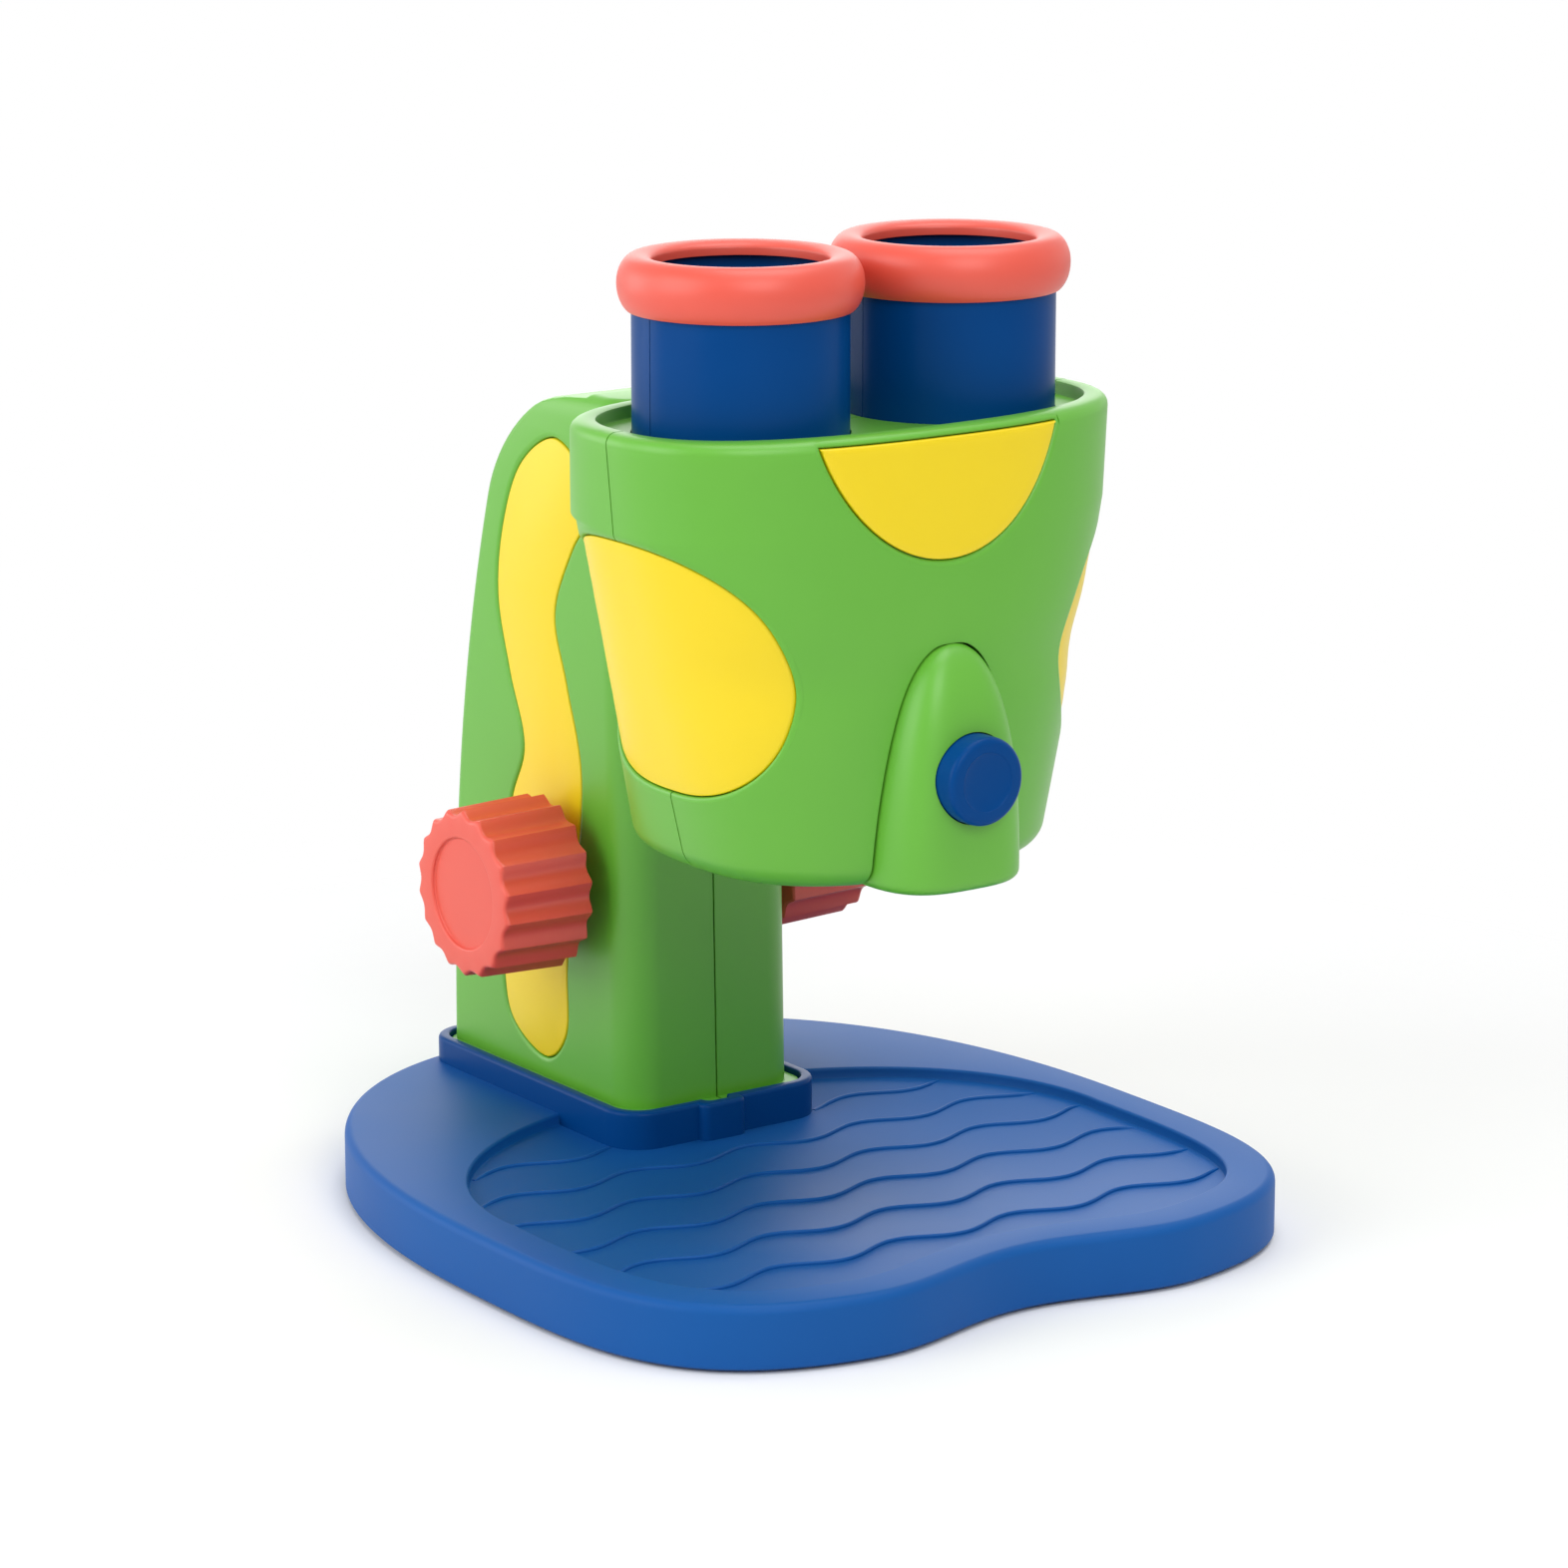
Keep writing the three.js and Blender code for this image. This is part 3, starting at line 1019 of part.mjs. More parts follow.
function makeLight() {
  const buttonAxis = (body) => body.rotate([90, 0, 0]).translate([0, 0, BUTTON_Z]);
  const buttonHole = buttonAxis(bar(BUTTON_RADIUS + GAP, -NOSE_BACK_Y, -BUTTON_FACE_Y, ROUND));
  const ledHole = bar(LED_RADIUS + GAP, NOSE_BOTTOM - 1, NOSE_BOTTOM + WALL + 1).translate([0, LED_Y, 0]);
  piece("light_housing", GREEN, cut(noseBody(0), noseBody(WALL), buttonHole, ledHole));

  // The button is a cup with a dished face, a stem, and a flange that keeps it in the housing.
  const face = -BUTTON_FACE_Y;
  const back = -BUTTON_BACK_Y;
  const inner = BUTTON_RADIUS - BUTTON_WALL;
  const flange = BUTTON_RADIUS + BUTTON_FLANGE;
  const stemEnd = back + BUTTON_TRAVEL + GAP + BUTTON_FLANGE;
  const pressed = BUTTON_TRAVEL + GAP / 2;
  const cupFloor = face - 2 * BUTTON_WALL;
  const flangeFront = back + BUTTON_FLANGE_DEPTH;
  const dish = face - BUTTON_DISH;
  const cup = revolve([
    [0, stemEnd], [BUTTON_STEM_RADIUS, stemEnd], [BUTTON_STEM_RADIUS, cupFloor], [inner, cupFloor],
    [inner, back], [flange, back], [flange, flangeFront], [BUTTON_RADIUS, flangeFront],
    [BUTTON_RADIUS, face - BUTTON_EDGE], [BUTTON_RADIUS - BUTTON_EDGE, face],
    [BUTTON_DISH_RADIUS, dish], [0, dish],
  ], ROUND);
  piece("light_button", TUBE_BLUE, buttonAxis(cup));

  // The switch stands on its board, just behind the button's stem.
  const pinEnd = pressed - stemEnd;
  const boardFront = pinEnd + BUTTON_FLANGE + SWITCH_DEPTH;
  const boardRear = boardFront + BOARD_THICKNESS;
  const level = (halfWidth, y0, y1, halfHeight) =>
    block(-halfWidth, halfWidth, y0, y1, BUTTON_Z - halfHeight, BUTTON_Z + halfHeight);
  piece("switch_board", BOARD_GREEN, level(BOARD_HALF_WIDTH, boardFront, boardRear, BOARD_HALF_HEIGHT));
  const pin = alongY(bar(SWITCH_PIN_RADIUS, pinEnd, boardFront - 1)).translate([0, 0, BUTTON_Z]);
  const can = level(SWITCH_HALF, boardFront - SWITCH_DEPTH, boardFront - GAP, SWITCH_HALF);
  piece("push_switch", SWITCH_BLACK, join(can, pin));

  // The chassis closes the housing's back, and holds the board in front and the cells behind.
  const postX = BOARD_HALF_WIDTH - 2;
  const post = alongY(bar(2, boardRear + GAP, chassisFront + 1));
  const posts = [-postX, postX].map((x) => post.translate([x, 0, BUTTON_Z]));
  const low = headFloor + GAP;
  const lidBottom = cellTop + 2 * GAP + CONTACT_THICKNESS;
  const lidTop = lidBottom + TRAY_WALL;
  const box = block(-trayHalf, trayHalf, chassisFront, trayRear, low, lidTop);
  const room = trayHalf - TRAY_WALL;
  const inside = block(-room, room, chassisRear, trayRear - TRAY_WALL, low - 1, lidBottom);
  const bossTop = low + DOOR_SCREW_LENGTH;
  const boss = bar(DOOR_BOSS_RADIUS, low, bossTop).translate([doorScrewX, cellY, 0]);
  const bossHole = bar(SCREW_RADIUS + GAP, HEAD_BOTTOM, bossTop - GAP).translate([doorScrewX, cellY, 0]);
  piece("light_chassis", SWITCH_BLACK, cut(join(box, boss, ...posts), inside, bossHole));

  const bothCells = 2 * CELL_RADIUS;
  const contact = (z) =>
    block(-bothCells, bothCells, chassisRear + GAP, cellY + CELL_RADIUS, z, z + CONTACT_THICKNESS);
  piece("battery_contact_upper", STEEL, contact(cellTop + GAP));
  piece("battery_contact_lower", STEEL, contact(cellBottom - GAP - CONTACT_THICKNESS));
  const cell = revolve([[0, cellBottom], [CELL_RADIUS, cellBottom], [CELL_RADIUS, cellTop - CELL_NUB_LENGTH],
    [CELL_NUB_RADIUS, cellTop - CELL_NUB_LENGTH], [CELL_NUB_RADIUS, cellTop], [0, cellTop]], ROUND / 2);
  piece("battery_left", CELL_JACKET, cell.translate([-cellX, cellY, 0]));
  piece("battery_right", CELL_JACKET, cell.translate([cellX, cellY, 0]));

  const ledTop = NOSE_BOTTOM + WALL + GAP;
  const led = revolve([[0, ledTop - LED_LENGTH / 2], [LED_RADIUS * 0.7, ledTop - LED_LENGTH * 0.45],
    [LED_RADIUS, ledTop - LED_LENGTH * 0.3], [LED_RADIUS, ledTop], [LED_RADIUS + 1, ledTop],
    [LED_RADIUS + 1, ledTop + 1], [0, ledTop + 1]], SMALL_ROUND);
  piece("light_led", LED_CLEAR, led.translate([0, LED_Y, 0]));

  const doorSeat = HEAD_BOTTOM + SCREW_HEAD;
  const doorScrew = (body) => body.rotate([180, 0, 0]).translate([doorScrewX, cellY, doorSeat]);
  const door = cut(doorPlan(0, HEAD_BOTTOM, headFloor), doorScrew(screwHole(DOOR_SCREW_LENGTH)));
  piece("battery_door", GREEN, door);
  piece("battery_door_screw", STEEL, doorScrew(screw(DOOR_SCREW_LENGTH)));
}

makeBase();
makeFeet();
makeColumn();
makeFocusDrive();
makeHead();
makeCarriage();
makeEyepieces();
makeObjective();
makeLight();

export default microscope;
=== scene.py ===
"""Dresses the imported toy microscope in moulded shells, panels, knobs and eyepieces, in a plain studio."""

import json
import logging
import math
from collections.abc import Callable, Sequence
from dataclasses import dataclass
from enum import Enum

import bmesh
import bpy
from mathutils import Matrix, Vector


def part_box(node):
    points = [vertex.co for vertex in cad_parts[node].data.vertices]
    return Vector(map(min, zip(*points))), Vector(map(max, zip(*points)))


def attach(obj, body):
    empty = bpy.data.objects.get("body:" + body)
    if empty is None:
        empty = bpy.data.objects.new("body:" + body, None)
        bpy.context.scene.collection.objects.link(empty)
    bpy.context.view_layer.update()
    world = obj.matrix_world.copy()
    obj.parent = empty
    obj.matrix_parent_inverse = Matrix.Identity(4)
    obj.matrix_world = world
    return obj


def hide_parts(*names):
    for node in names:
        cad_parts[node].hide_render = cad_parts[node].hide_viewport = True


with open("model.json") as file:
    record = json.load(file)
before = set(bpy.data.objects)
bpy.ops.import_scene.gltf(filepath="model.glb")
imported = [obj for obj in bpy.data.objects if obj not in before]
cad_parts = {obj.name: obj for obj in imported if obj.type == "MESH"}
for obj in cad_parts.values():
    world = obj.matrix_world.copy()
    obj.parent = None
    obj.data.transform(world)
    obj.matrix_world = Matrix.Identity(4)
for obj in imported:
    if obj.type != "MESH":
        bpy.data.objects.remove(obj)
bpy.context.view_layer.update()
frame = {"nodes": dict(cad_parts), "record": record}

log = logging.getLogger("microscope")

# One millimetre in metres. The object is modelled in millimetres, and the studio in metres.
MM = 0.001
# Faces that meet at a sharper angle than this keep a hard edge.
SMOOTH_ANGLE = math.radians(33)
# Clearance between pieces that fit each other.
GAP = 0.3
# A reach beyond the whole object.
FAR = 400.0
# How far a cutter passes the wall that it opens.
PAST = 1.0
# How close together points count as one.
MERGE = 1e-4
# How far Blender's wave texture turns, in radians, in one unit of its scale.
WAVE_TURN = 20

Point = tuple[float, float]
Place = Callable[[Point, float], Vector]


class Body(Enum):
    """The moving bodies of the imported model."""

    STAND = "stand"
    HEAD = "head"
    FOCUS = "focus"
    BUTTON = "button"


class Way(Enum):
    """One of the two ways along an axis, by its sign."""

    @property
    def word(self) -> str:
        """The way's word in piece names."""
        return self.name.lower()


class Side(Way):
    """The two sides of the microscope, along X."""

    LEFT = -1
    RIGHT = 1


class End(Way):
    """The two ends of the microscope, along Y."""

    FRONT = -1
    REAR = 1


class Carving(Enum):
    """How one closed mesh works on another."""

    CUT = "DIFFERENCE"
    JOIN = "UNION"


# Outlines and profiles, in millimetres


def oval_point(angle: float, half_width: float, depth: float, roundness: float) -> Point:
    """Find a point on an oval whose corners grow squarer with its roundness.

    Args:
        angle: Turn round the oval in radians.
        half_width: Reach along the first axis.
        depth: Reach along the second axis.
        roundness: Exponent of the oval, 2 for an ellipse.

    Returns:
        The point.
    """
    cosine, sine = math.cos(angle), math.sin(angle)
    power = 2 / roundness
    return (
        half_width * math.copysign(abs(cosine) ** power, cosine),
        depth * math.copysign(abs(sine) ** power, sine),
    )


def sweep(start: float, end: float, steps: int) -> list[float]:
    """List the values from a start to an end in equal steps, both ends included."""
    return [start + (end - start) * i / steps for i in range(steps + 1)]


def quarter(steps: int) -> list[float]:
    """List the angles of a quarter turn in equal steps, both ends included."""
    return sweep(0, math.pi / 2, steps)


def arc(centre: Point, radius: float, start: float, end: float, steps: int) -> list[Point]:
    """List the points of a circular arc between two angles in degrees."""
    turns = [math.radians(angle) for angle in sweep(start, end, steps)]
    return [(centre[0] + radius * math.cos(t), centre[1] + radius * math.sin(t)) for t in turns]


def laid(outline: Sequence[Point], z: float) -> list[Vector]:
    """Lay an outline flat at a level."""
    return [Vector((x, y, z)) for x, y in outline]


def box_mm(node: str) -> tuple[Vector, Vector]:
    """Find the lowest and highest corners of a CAD part in millimetres."""
    low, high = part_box(node)
    return low / MM, high / MM


def grown(points: Sequence[Point], margin: float) -> list[Point]:
    """Move the points of an anticlockwise outline outwards by a margin.

    Args:
        points: The points in order.
        margin: How far they move, negative inwards.

    Returns:
        The moved points.
    """
    count = len(points)
    moved = []
    for i, (x, y) in enumerate(points):
        after, before = points[(i + 1) % count], points[i - 1]
        along = Vector((after[0] - before[0], after[1] - before[1])).normalized()
        moved.append((x + along.y * margin, y - along.x * margin))
    return moved


def spaced(run: Sequence[Point], count: int) -> list[Point]:
    """Respace a run of points into a number of points that lie equally far apart.

    Args:
        run: The points, closely spaced.
        count: How many points to return.

    Returns:
        The new points, from the first one up to the last one, which is left out.
    """
    marks = [0.0]
    for a, b in zip(run, run[1:]):
        marks.append(marks[-1] + math.dist(a, b))
    found = []
    at = 0
    for i in range(count):
        goal = marks[-1] * i / count
        while marks[at + 1] < goal:
            at += 1
        share = (goal - marks[at]) / (marks[at + 1] - marks[at])
        found.append(tuple(Vector(run[at]).lerp(Vector(run[at + 1]), share)))
    return found


def inside(point: Point, outline: Sequence[Point]) -> bool:
    """Tell whether a point lies inside a closed outline.

    Args:
        point: The point.
        outline: The points of the outline in order.

    Returns:
        Whether it lies inside.
    """
    x, y = point
    held = False
    for (x0, y0), (x1, y1) in zip(outline, [*outline[1:], outline[0]]):
        if (y0 > y) != (y1 > y) and x < x0 + (y - y0) * (x1 - x0) / (y1 - y0):
            held = not held
    return held


def flowing_loop(places: Sequence[Point], steps: int) -> list[Point]:
    """Draw a smooth closed curve through a few places.

    Args:
        places: The places that the curve passes through.
        steps: Points from each place to the next.

    Returns:
        The points of the curve.
    """
    count = len(places)
    points = []
    for i in range(count):
        p = [Vector(places[(i + k) % count]) for k in (-1, 0, 1, 2)]
        spans = [max((b - a).length, 1e-6) ** 0.5 for a, b in zip(p, p[1:])]
        leave = (p[1] - p[0]) / spans[0] - (p[2] - p[0]) / (spans[0] + spans[1]) + (p[2] - p[1]) / spans[1]
        reach = (p[2] - p[1]) / spans[1] - (p[3] - p[1]) / (spans[1] + spans[2]) + (p[3] - p[2]) / spans[2]
        leave, reach = leave * spans[1], reach * spans[1]
        bend = 2 * p[1] - 2 * p[2] + leave + reach
        ease = 3 * (p[2] - p[1]) - 2 * leave - reach
        for step in range(steps):
            t = step / steps
            points.append(tuple(bend * t**3 + ease * t**2 + leave * t + p[1]))
    return points


def softened(profile: Sequence[tuple[float, ...]], steps: int = 5) -> list[Point]:
    """Round the corners of an open or closed profile.

    Args:
        profile: Points as (a, b) for a sharp corner or (a, b, radius) for a round one.
        steps: Straight steps to a round corner.

    Returns:
        The points of the rounded profile.
    """
    count = len(profile)
    points: list[Point] = []
    for i, corner in enumerate(profile):
        at = Vector(corner[:2])
        if len(corner) < 3:
            points.append(tuple(at))
            continue
        before = (Vector(profile[i - 1][:2]) - at).normalized()
        after = (Vector(profile[(i + 1) % count][:2]) - at).normalized()
        half = before.angle(after) / 2
        reach = corner[2] / math.tan(half)
        start, end = at + before * reach, at + after * reach
        middle = at + (before + after).normalized() * (corner[2] / math.sin(half))
        bend = math.pi - 2 * half
        for turn in sweep(0, bend if before.cross(after) < 0 else -bend, steps):
            arm = start - middle
            arm.rotate(Matrix.Rotation(turn, 2))
            points.append(tuple(middle + arm))
        points[-1] = tuple(end)
    return points


# Meshes, modelled in millimetres and set to metres when they are finished


def loft(shape: bmesh.types.BMesh, rings: Sequence[Sequence[Vector]], hoop: bool = False) -> None:
    """Skin a closed form through rings of equal counts, by extruding a circle from ring to ring.

    Args:
        shape: The mesh that the form is added to.
        rings: The rings in order, each with its points in the same turn.
        hoop: Whether the last ring joins the first, instead of both being filled.
    """
    made = bmesh.ops.create_circle(shape, radius=1, segments=len(rings[0]))["verts"]
    loop = sorted(made, key=lambda v: math.atan2(v.co.y, v.co.x))
    first = loop
    for vert, point in zip(loop, rings[0]):
        vert.co = point

    def edges_of(verts: Sequence[bmesh.types.BMVert]) -> list[bmesh.types.BMEdge]:
        """The edges that close a ring of vertices."""
        return [shape.edges.get(pair) for pair in zip(verts, [*verts[1:], verts[0]])]

    for ring in rings[1:]:
        grown_geometry = bmesh.ops.extrude_edge_only(shape, edges=edges_of(loop))["geom"]
        fresh = {g for g in grown_geometry if isinstance(g, bmesh.types.BMVert)}
        loop = [next(e.other_vert(v) for e in v.link_edges if e.other_vert(v) in fresh) for v in loop]
        for vert, point in zip(loop, ring):
            vert.co = point
    if hoop:
        bmesh.ops.bridge_loops(shape, edges=edges_of(first) + edges_of(loop))
    else:
        bmesh.ops.edgeloop_fill(shape, edges=edges_of(first))
        bmesh.ops.edgeloop_fill(shape, edges=edges_of(loop))


def lofted(rings: Sequence[Sequence[Vector]], hoop: bool = False) -> bmesh.types.BMesh:
    """Model a closed form of its own through rings, as loft does.

    Args:
        rings: The rings in order.
        hoop: Whether the last ring joins the first.

    Returns:
        The form.
    """
    shape = bmesh.new()
    loft(shape, rings, hoop)
    return shape


def turned(profile: Sequence[Point], steps: int) -> bmesh.types.BMesh:
    """Turn a closed profile of (radius, height) points about the Z axis.

    Args:
        profile: The profile's points.
        steps: Steps of the full turn.

    Returns:
        The turned form.
    """
    shape = bmesh.new()
    verts = [shape.verts.new((radius, 0, height)) for radius, height in profile]
    edges = [shape.edges.new(pair) for pair in zip(verts, [*verts[1:], verts[0]])]
    bmesh.ops.spin(
        shape, geom=[*verts, *edges], cent=(0, 0, 0), axis=(0, 0, 1), angle=math.tau, steps=steps,
        use_merge=True,
    )
    bmesh.ops.remove_doubles(shape, verts=shape.verts, dist=MERGE)
    bmesh.ops.dissolve_degenerate(shape, edges=shape.edges, dist=MERGE / 10)
    return shape


def rod(shape: bmesh.types.BMesh, radius: float, start: Vector, end: Vector, sides: int = 64) -> None:
    """Add a round bar between two points.

    Args:
        shape: The mesh that it is added to.
        radius: Its radius.
        start: The middle of one end.
        end: The middle of the other end.
        sides: Sides of its round.
    """
    along = end - start
    place = Matrix.Translation((start + end) / 2) @ along.to_track_quat("Z", "Y").to_matrix().to_4x4()
    bmesh.ops.create_cone(
        shape, cap_ends=True, segments=sides, radius1=radius, radius2=radius, depth=along.length, matrix=place
    )


def brick(shape: bmesh.types.BMesh, low: Sequence[float], high: Sequence[float]) -> None:
    """Add a block between two corners.

    Args:
        shape: The mesh that it is added to.
        low: Its lowest corner.
        high: Its highest corner.
    """
    low, high = Vector(low), Vector(high)
    size = Matrix.Diagonal((*(high - low), 1))
    bmesh.ops.create_cube(shape, size=1, matrix=Matrix.Translation((low + high) / 2) @ size)


def linked(name: str, data: bpy.types.ID) -> bpy.types.Object:
    """Put a mesh, lamp or camera into the scene as an object.

    Args:
        name: The object's name.
        data: What the object shows.

    Returns:
        The new object.
    """
    made = bpy.data.objects.new(name, data)
    bpy.context.scene.collection.objects.link(made)
    return made


def raw_object(name: str, shape: bmesh.types.BMesh) -> bpy.types.Object:
    """Put a modelled mesh into the scene, still in millimetres, with its faces turned outwards.

    Args:
        name: The object's name.
        shape: The mesh, which is freed.

    Returns:
        The new object.
    """
    bmesh.ops.recalc_face_normals(shape, faces=shape.faces)
    mesh = bpy.data.meshes.new(name)
    shape.to_mesh(mesh)
    shape.free()
    return linked(name, mesh)


def carve(target: bpy.types.Object, tool: bmesh.types.BMesh, carving: Carving = Carving.CUT) -> None:
    """Cut a closed tool out of an object, or join it on, and keep the result as the object's mesh.

    Args:
        target: The object that changes.
        tool: The closed mesh that works on it, which is freed.
        carving: Whether the tool is cut out or joined.
    """
    helper = raw_object("tool", tool)
    work = target.modifiers.new("carve", "BOOLEAN")
    work.object, work.operation, work.solver = helper, carving.value, "EXACT"
    result = bpy.data.meshes.new_from_object(target.evaluated_get(bpy.context.evaluated_depsgraph_get()))
    target.modifiers.remove(work)
    spent = target.data
    target.data = result
    bpy.data.meshes.remove(spent)
    discard(helper)


def discard(spent: bpy.types.Object) -> None:
    """Remove an object and its mesh.

    Args:
        spent: The object.
    """
    mesh = spent.data
    bpy.data.objects.remove(spent)
    bpy.data.meshes.remove(mesh)


def duplicate(source: bpy.types.Object, name: str) -> bpy.types.Object:
    """Copy an object and its mesh under a new name.

    Args:
        source: The object to copy.
        name: The copy's name.

    Returns:
        The copy.
    """
    made = source.copy()
    made.data = source.data.copy()
    made.name = name
    bpy.context.scene.collection.objects.link(made)
    return made


def add_to(target: bpy.types.Object, extra: bmesh.types.BMesh) -> None:
    """Add a closed mesh to an object as an island of its own, and free it.

    Args:
        target: The object that grows.
        extra: The mesh, which is freed.
    """
    bmesh.ops.recalc_face_normals(extra, faces=extra.faces)
    spare = bpy.data.meshes.new("extra")
    extra.to_mesh(spare)
    extra.free()
    both = bmesh.new()
    both.from_mesh(target.data)
    both.from_mesh(spare)
    both.to_mesh(target.data)
    both.free()
    bpy.data.meshes.remove(spare)


def keep_beyond(target: bpy.types.Object, place: Sequence[float], facing: Sequence[float]) -> None:
    """Keep what lies beyond a plane of an object.

    Args:
        target: The object that is cut.
        place: A point of the plane.
        facing: The direction, along an axis, in which the kept part lies.
    """
    away = bmesh.new()
    brick(away, (-FAR, -FAR, -FAR), (FAR, FAR, FAR))
    bmesh.ops.translate(away, vec=Vector(place) - Vector(facing) * FAR, verts=away.verts)
    carve(target, away)


def trim(shape: bmesh.types.BMesh, place: Sequence[float], facing: Sequence[float]) -> None:
    """Take away what lies beyond a plane of a closed mesh, and fill the cut.

    Args:
        shape: The mesh that is cut.
        place: A point of the plane.
        facing: The direction in which the part that goes lies.
    """
    cut = bmesh.ops.bisect_plane(
        shape, geom=[*shape.verts, *shape.edges, *shape.faces], plane_co=place, plane_no=facing,
        clear_outer=True,
    )
    bmesh.ops.edgeloop_fill(shape, edges=[g for g in cut["geom_cut"] if isinstance(g, bmesh.types.BMEdge)])


# Finishes


def linear(code: str) -> tuple[float, float, float, float]:
    """Turn an sRGB hex colour into linear light.

    Args:
        code: Six hex digits.

    Returns:
        Red, green, blue and full alpha.
    """
    shares = [int(code[i : i + 2], 16) / 255 for i in (0, 2, 4)]
    red, green, blue = (s / 12.92 if s <= 0.04045 else ((s + 0.055) / 1.055) ** 2.4 for s in shares)
    return red, green, blue, 1.0


def add_node(
    tree: bpy.types.NodeTree, kind: str, inputs: dict | None = None, **settings: object
) -> bpy.types.Node:
    """Add a shader node with its settings, values and links.

    Args:
        tree: The node tree.
        kind: The node's type name.
        inputs: Input names or numbers, each with a value or the socket that feeds it.
        **settings: The node's own properties.

    Returns:
        The new node.
    """
    node = tree.nodes.new(kind)
    for key, value in settings.items():
        setattr(node, key, value)
    for key, value in (inputs or {}).items():
        if isinstance(value, bpy.types.NodeSocket):
            tree.links.new(value, node.inputs[key])
        else:
            node.inputs[key].default_value = value
    return node


def blank_material(name: str) -> tuple[bpy.types.Material, bpy.types.NodeTree, bpy.types.NodeSocket]:
    """Make a material that holds nothing yet but its object coordinates.

    Args:
        name: The material's name.

    Returns:
        The material, its node tree and the coordinates' socket.
    """
    material = bpy.data.materials.new(name)
    material.use_nodes = True
    tree = material.node_tree
    tree.nodes.clear()
    return material, tree, add_node(tree, "ShaderNodeTexCoord").outputs["Object"]


def per_metre(size_mm: float) -> float:
    """The texture scale that gives a pattern of a real size."""
    return 1 / (size_mm * MM)


@dataclass(frozen=True)
class MouldedPlastic:
    """Coloured injection-moulded plastic with a fine spark-eroded grain and faint flow clouds.

    The grain of a real mould is about 0.2 mm wide. It is drawn coarser here, as coarse as it needs to show.
    """

    name: str
    colour: str
    cloud: str
    roughness: float
    grain_mm: float = 0.45
    grain_depth_mm: float = 0.02
    cloud_mm: float = 38.0
    shine: float = 0.3
    glow_through: float = 0.0
    glow_mm: float = 1.5
    glow_colours: tuple[float, float, float] = (1.0, 0.8, 0.4)
    grain_strength: float = 0.35
    grain_detail: float = 2.0
    cloud_detail: float = 3.0
    gloss_below: float = 0.04
    gloss_above: float = 0.05
    bending: float = 1.53

    def material(self) -> bpy.types.Material:
        """Build the plastic: clouded colour, uneven gloss and a grained surface."""
        material, tree, where = blank_material(self.name)
        clouds = add_node(tree, "ShaderNodeTexNoise", {
            "Vector": where, "Scale": per_metre(self.cloud_mm), "Detail": self.cloud_detail,
        })
        colour = add_node(tree, "ShaderNodeMixRGB", {
            "Fac": clouds.outputs["Fac"], "Color1": linear(self.colour), "Color2": linear(self.cloud),
        })
        grain = add_node(tree, "ShaderNodeTexNoise", {
            "Vector": where, "Scale": per_metre(self.grain_mm), "Detail": self.grain_detail,
        })
        gloss = add_node(tree, "ShaderNodeMapRange", {
            "Value": clouds.outputs["Fac"],
            "To Min": self.roughness - self.gloss_below,
            "To Max": self.roughness + self.gloss_above,
        })
        bump = add_node(tree, "ShaderNodeBump", {
            "Height": grain.outputs["Fac"],
            "Strength": self.grain_strength,
            "Distance": self.grain_depth_mm * MM,
        })
        skin = add_node(tree, "ShaderNodeBsdfPrincipled", {
            "Base Color": colour.outputs[0],
            "Roughness": gloss.outputs["Result"],
            "Normal": bump.outputs["Normal"],
            "IOR": self.bending,
            "Specular IOR Level": self.shine,
            "Subsurface Weight": self.glow_through,
            "Subsurface Radius": self.glow_colours,
            "Subsurface Scale": self.glow_mm * MM,
        })
        add_node(tree, "ShaderNodeOutputMaterial", {"Surface": skin.outputs["BSDF"]})
        return material


@dataclass(frozen=True)
class ClearAcrylic:
    """Clear moulded acrylic of a lens, polished, with the faintest ripple of its mould."""

    name: str
    colour: str
    roughness: float = 0.03
    gloss_above: float = 0.04
    ripple_mm: float = 9.0
    ripple_detail: float = 1.0
    ripple_strength: float = 0.05
    ripple_depth_mm: float = 0.05
    bending: float = 1.49

    def material(self) -> bpy.types.Material:
        """Build the acrylic: clear, glossy, and a little uneven."""
        material, tree, where = blank_material(self.name)
        swirl = add_node(tree, "ShaderNodeTexNoise", {
            "Vector": where, "Scale": per_metre(self.ripple_mm), "Detail": self.ripple_detail,
        })
        gloss = add_node(tree, "ShaderNodeMapRange", {
            "Value": swirl.outputs["Fac"],
            "To Min": self.roughness,
            "To Max": self.roughness + self.gloss_above,
        })
        bump = add_node(tree, "ShaderNodeBump", {
            "Height": swirl.outputs["Fac"],
            "Strength": self.ripple_strength,
            "Distance": self.ripple_depth_mm * MM,
        })
        skin = add_node(tree, "ShaderNodeBsdfPrincipled", {
            "Base Color": linear(self.colour),
            "Roughness": gloss.outputs["Result"],
            "Normal": bump.outputs["Normal"],
            "IOR": self.bending,
            "Transmission Weight": 1.0,
        })
        add_node(tree, "ShaderNodeOutputMaterial", {"Surface": skin.outputs["BSDF"]})
        return material


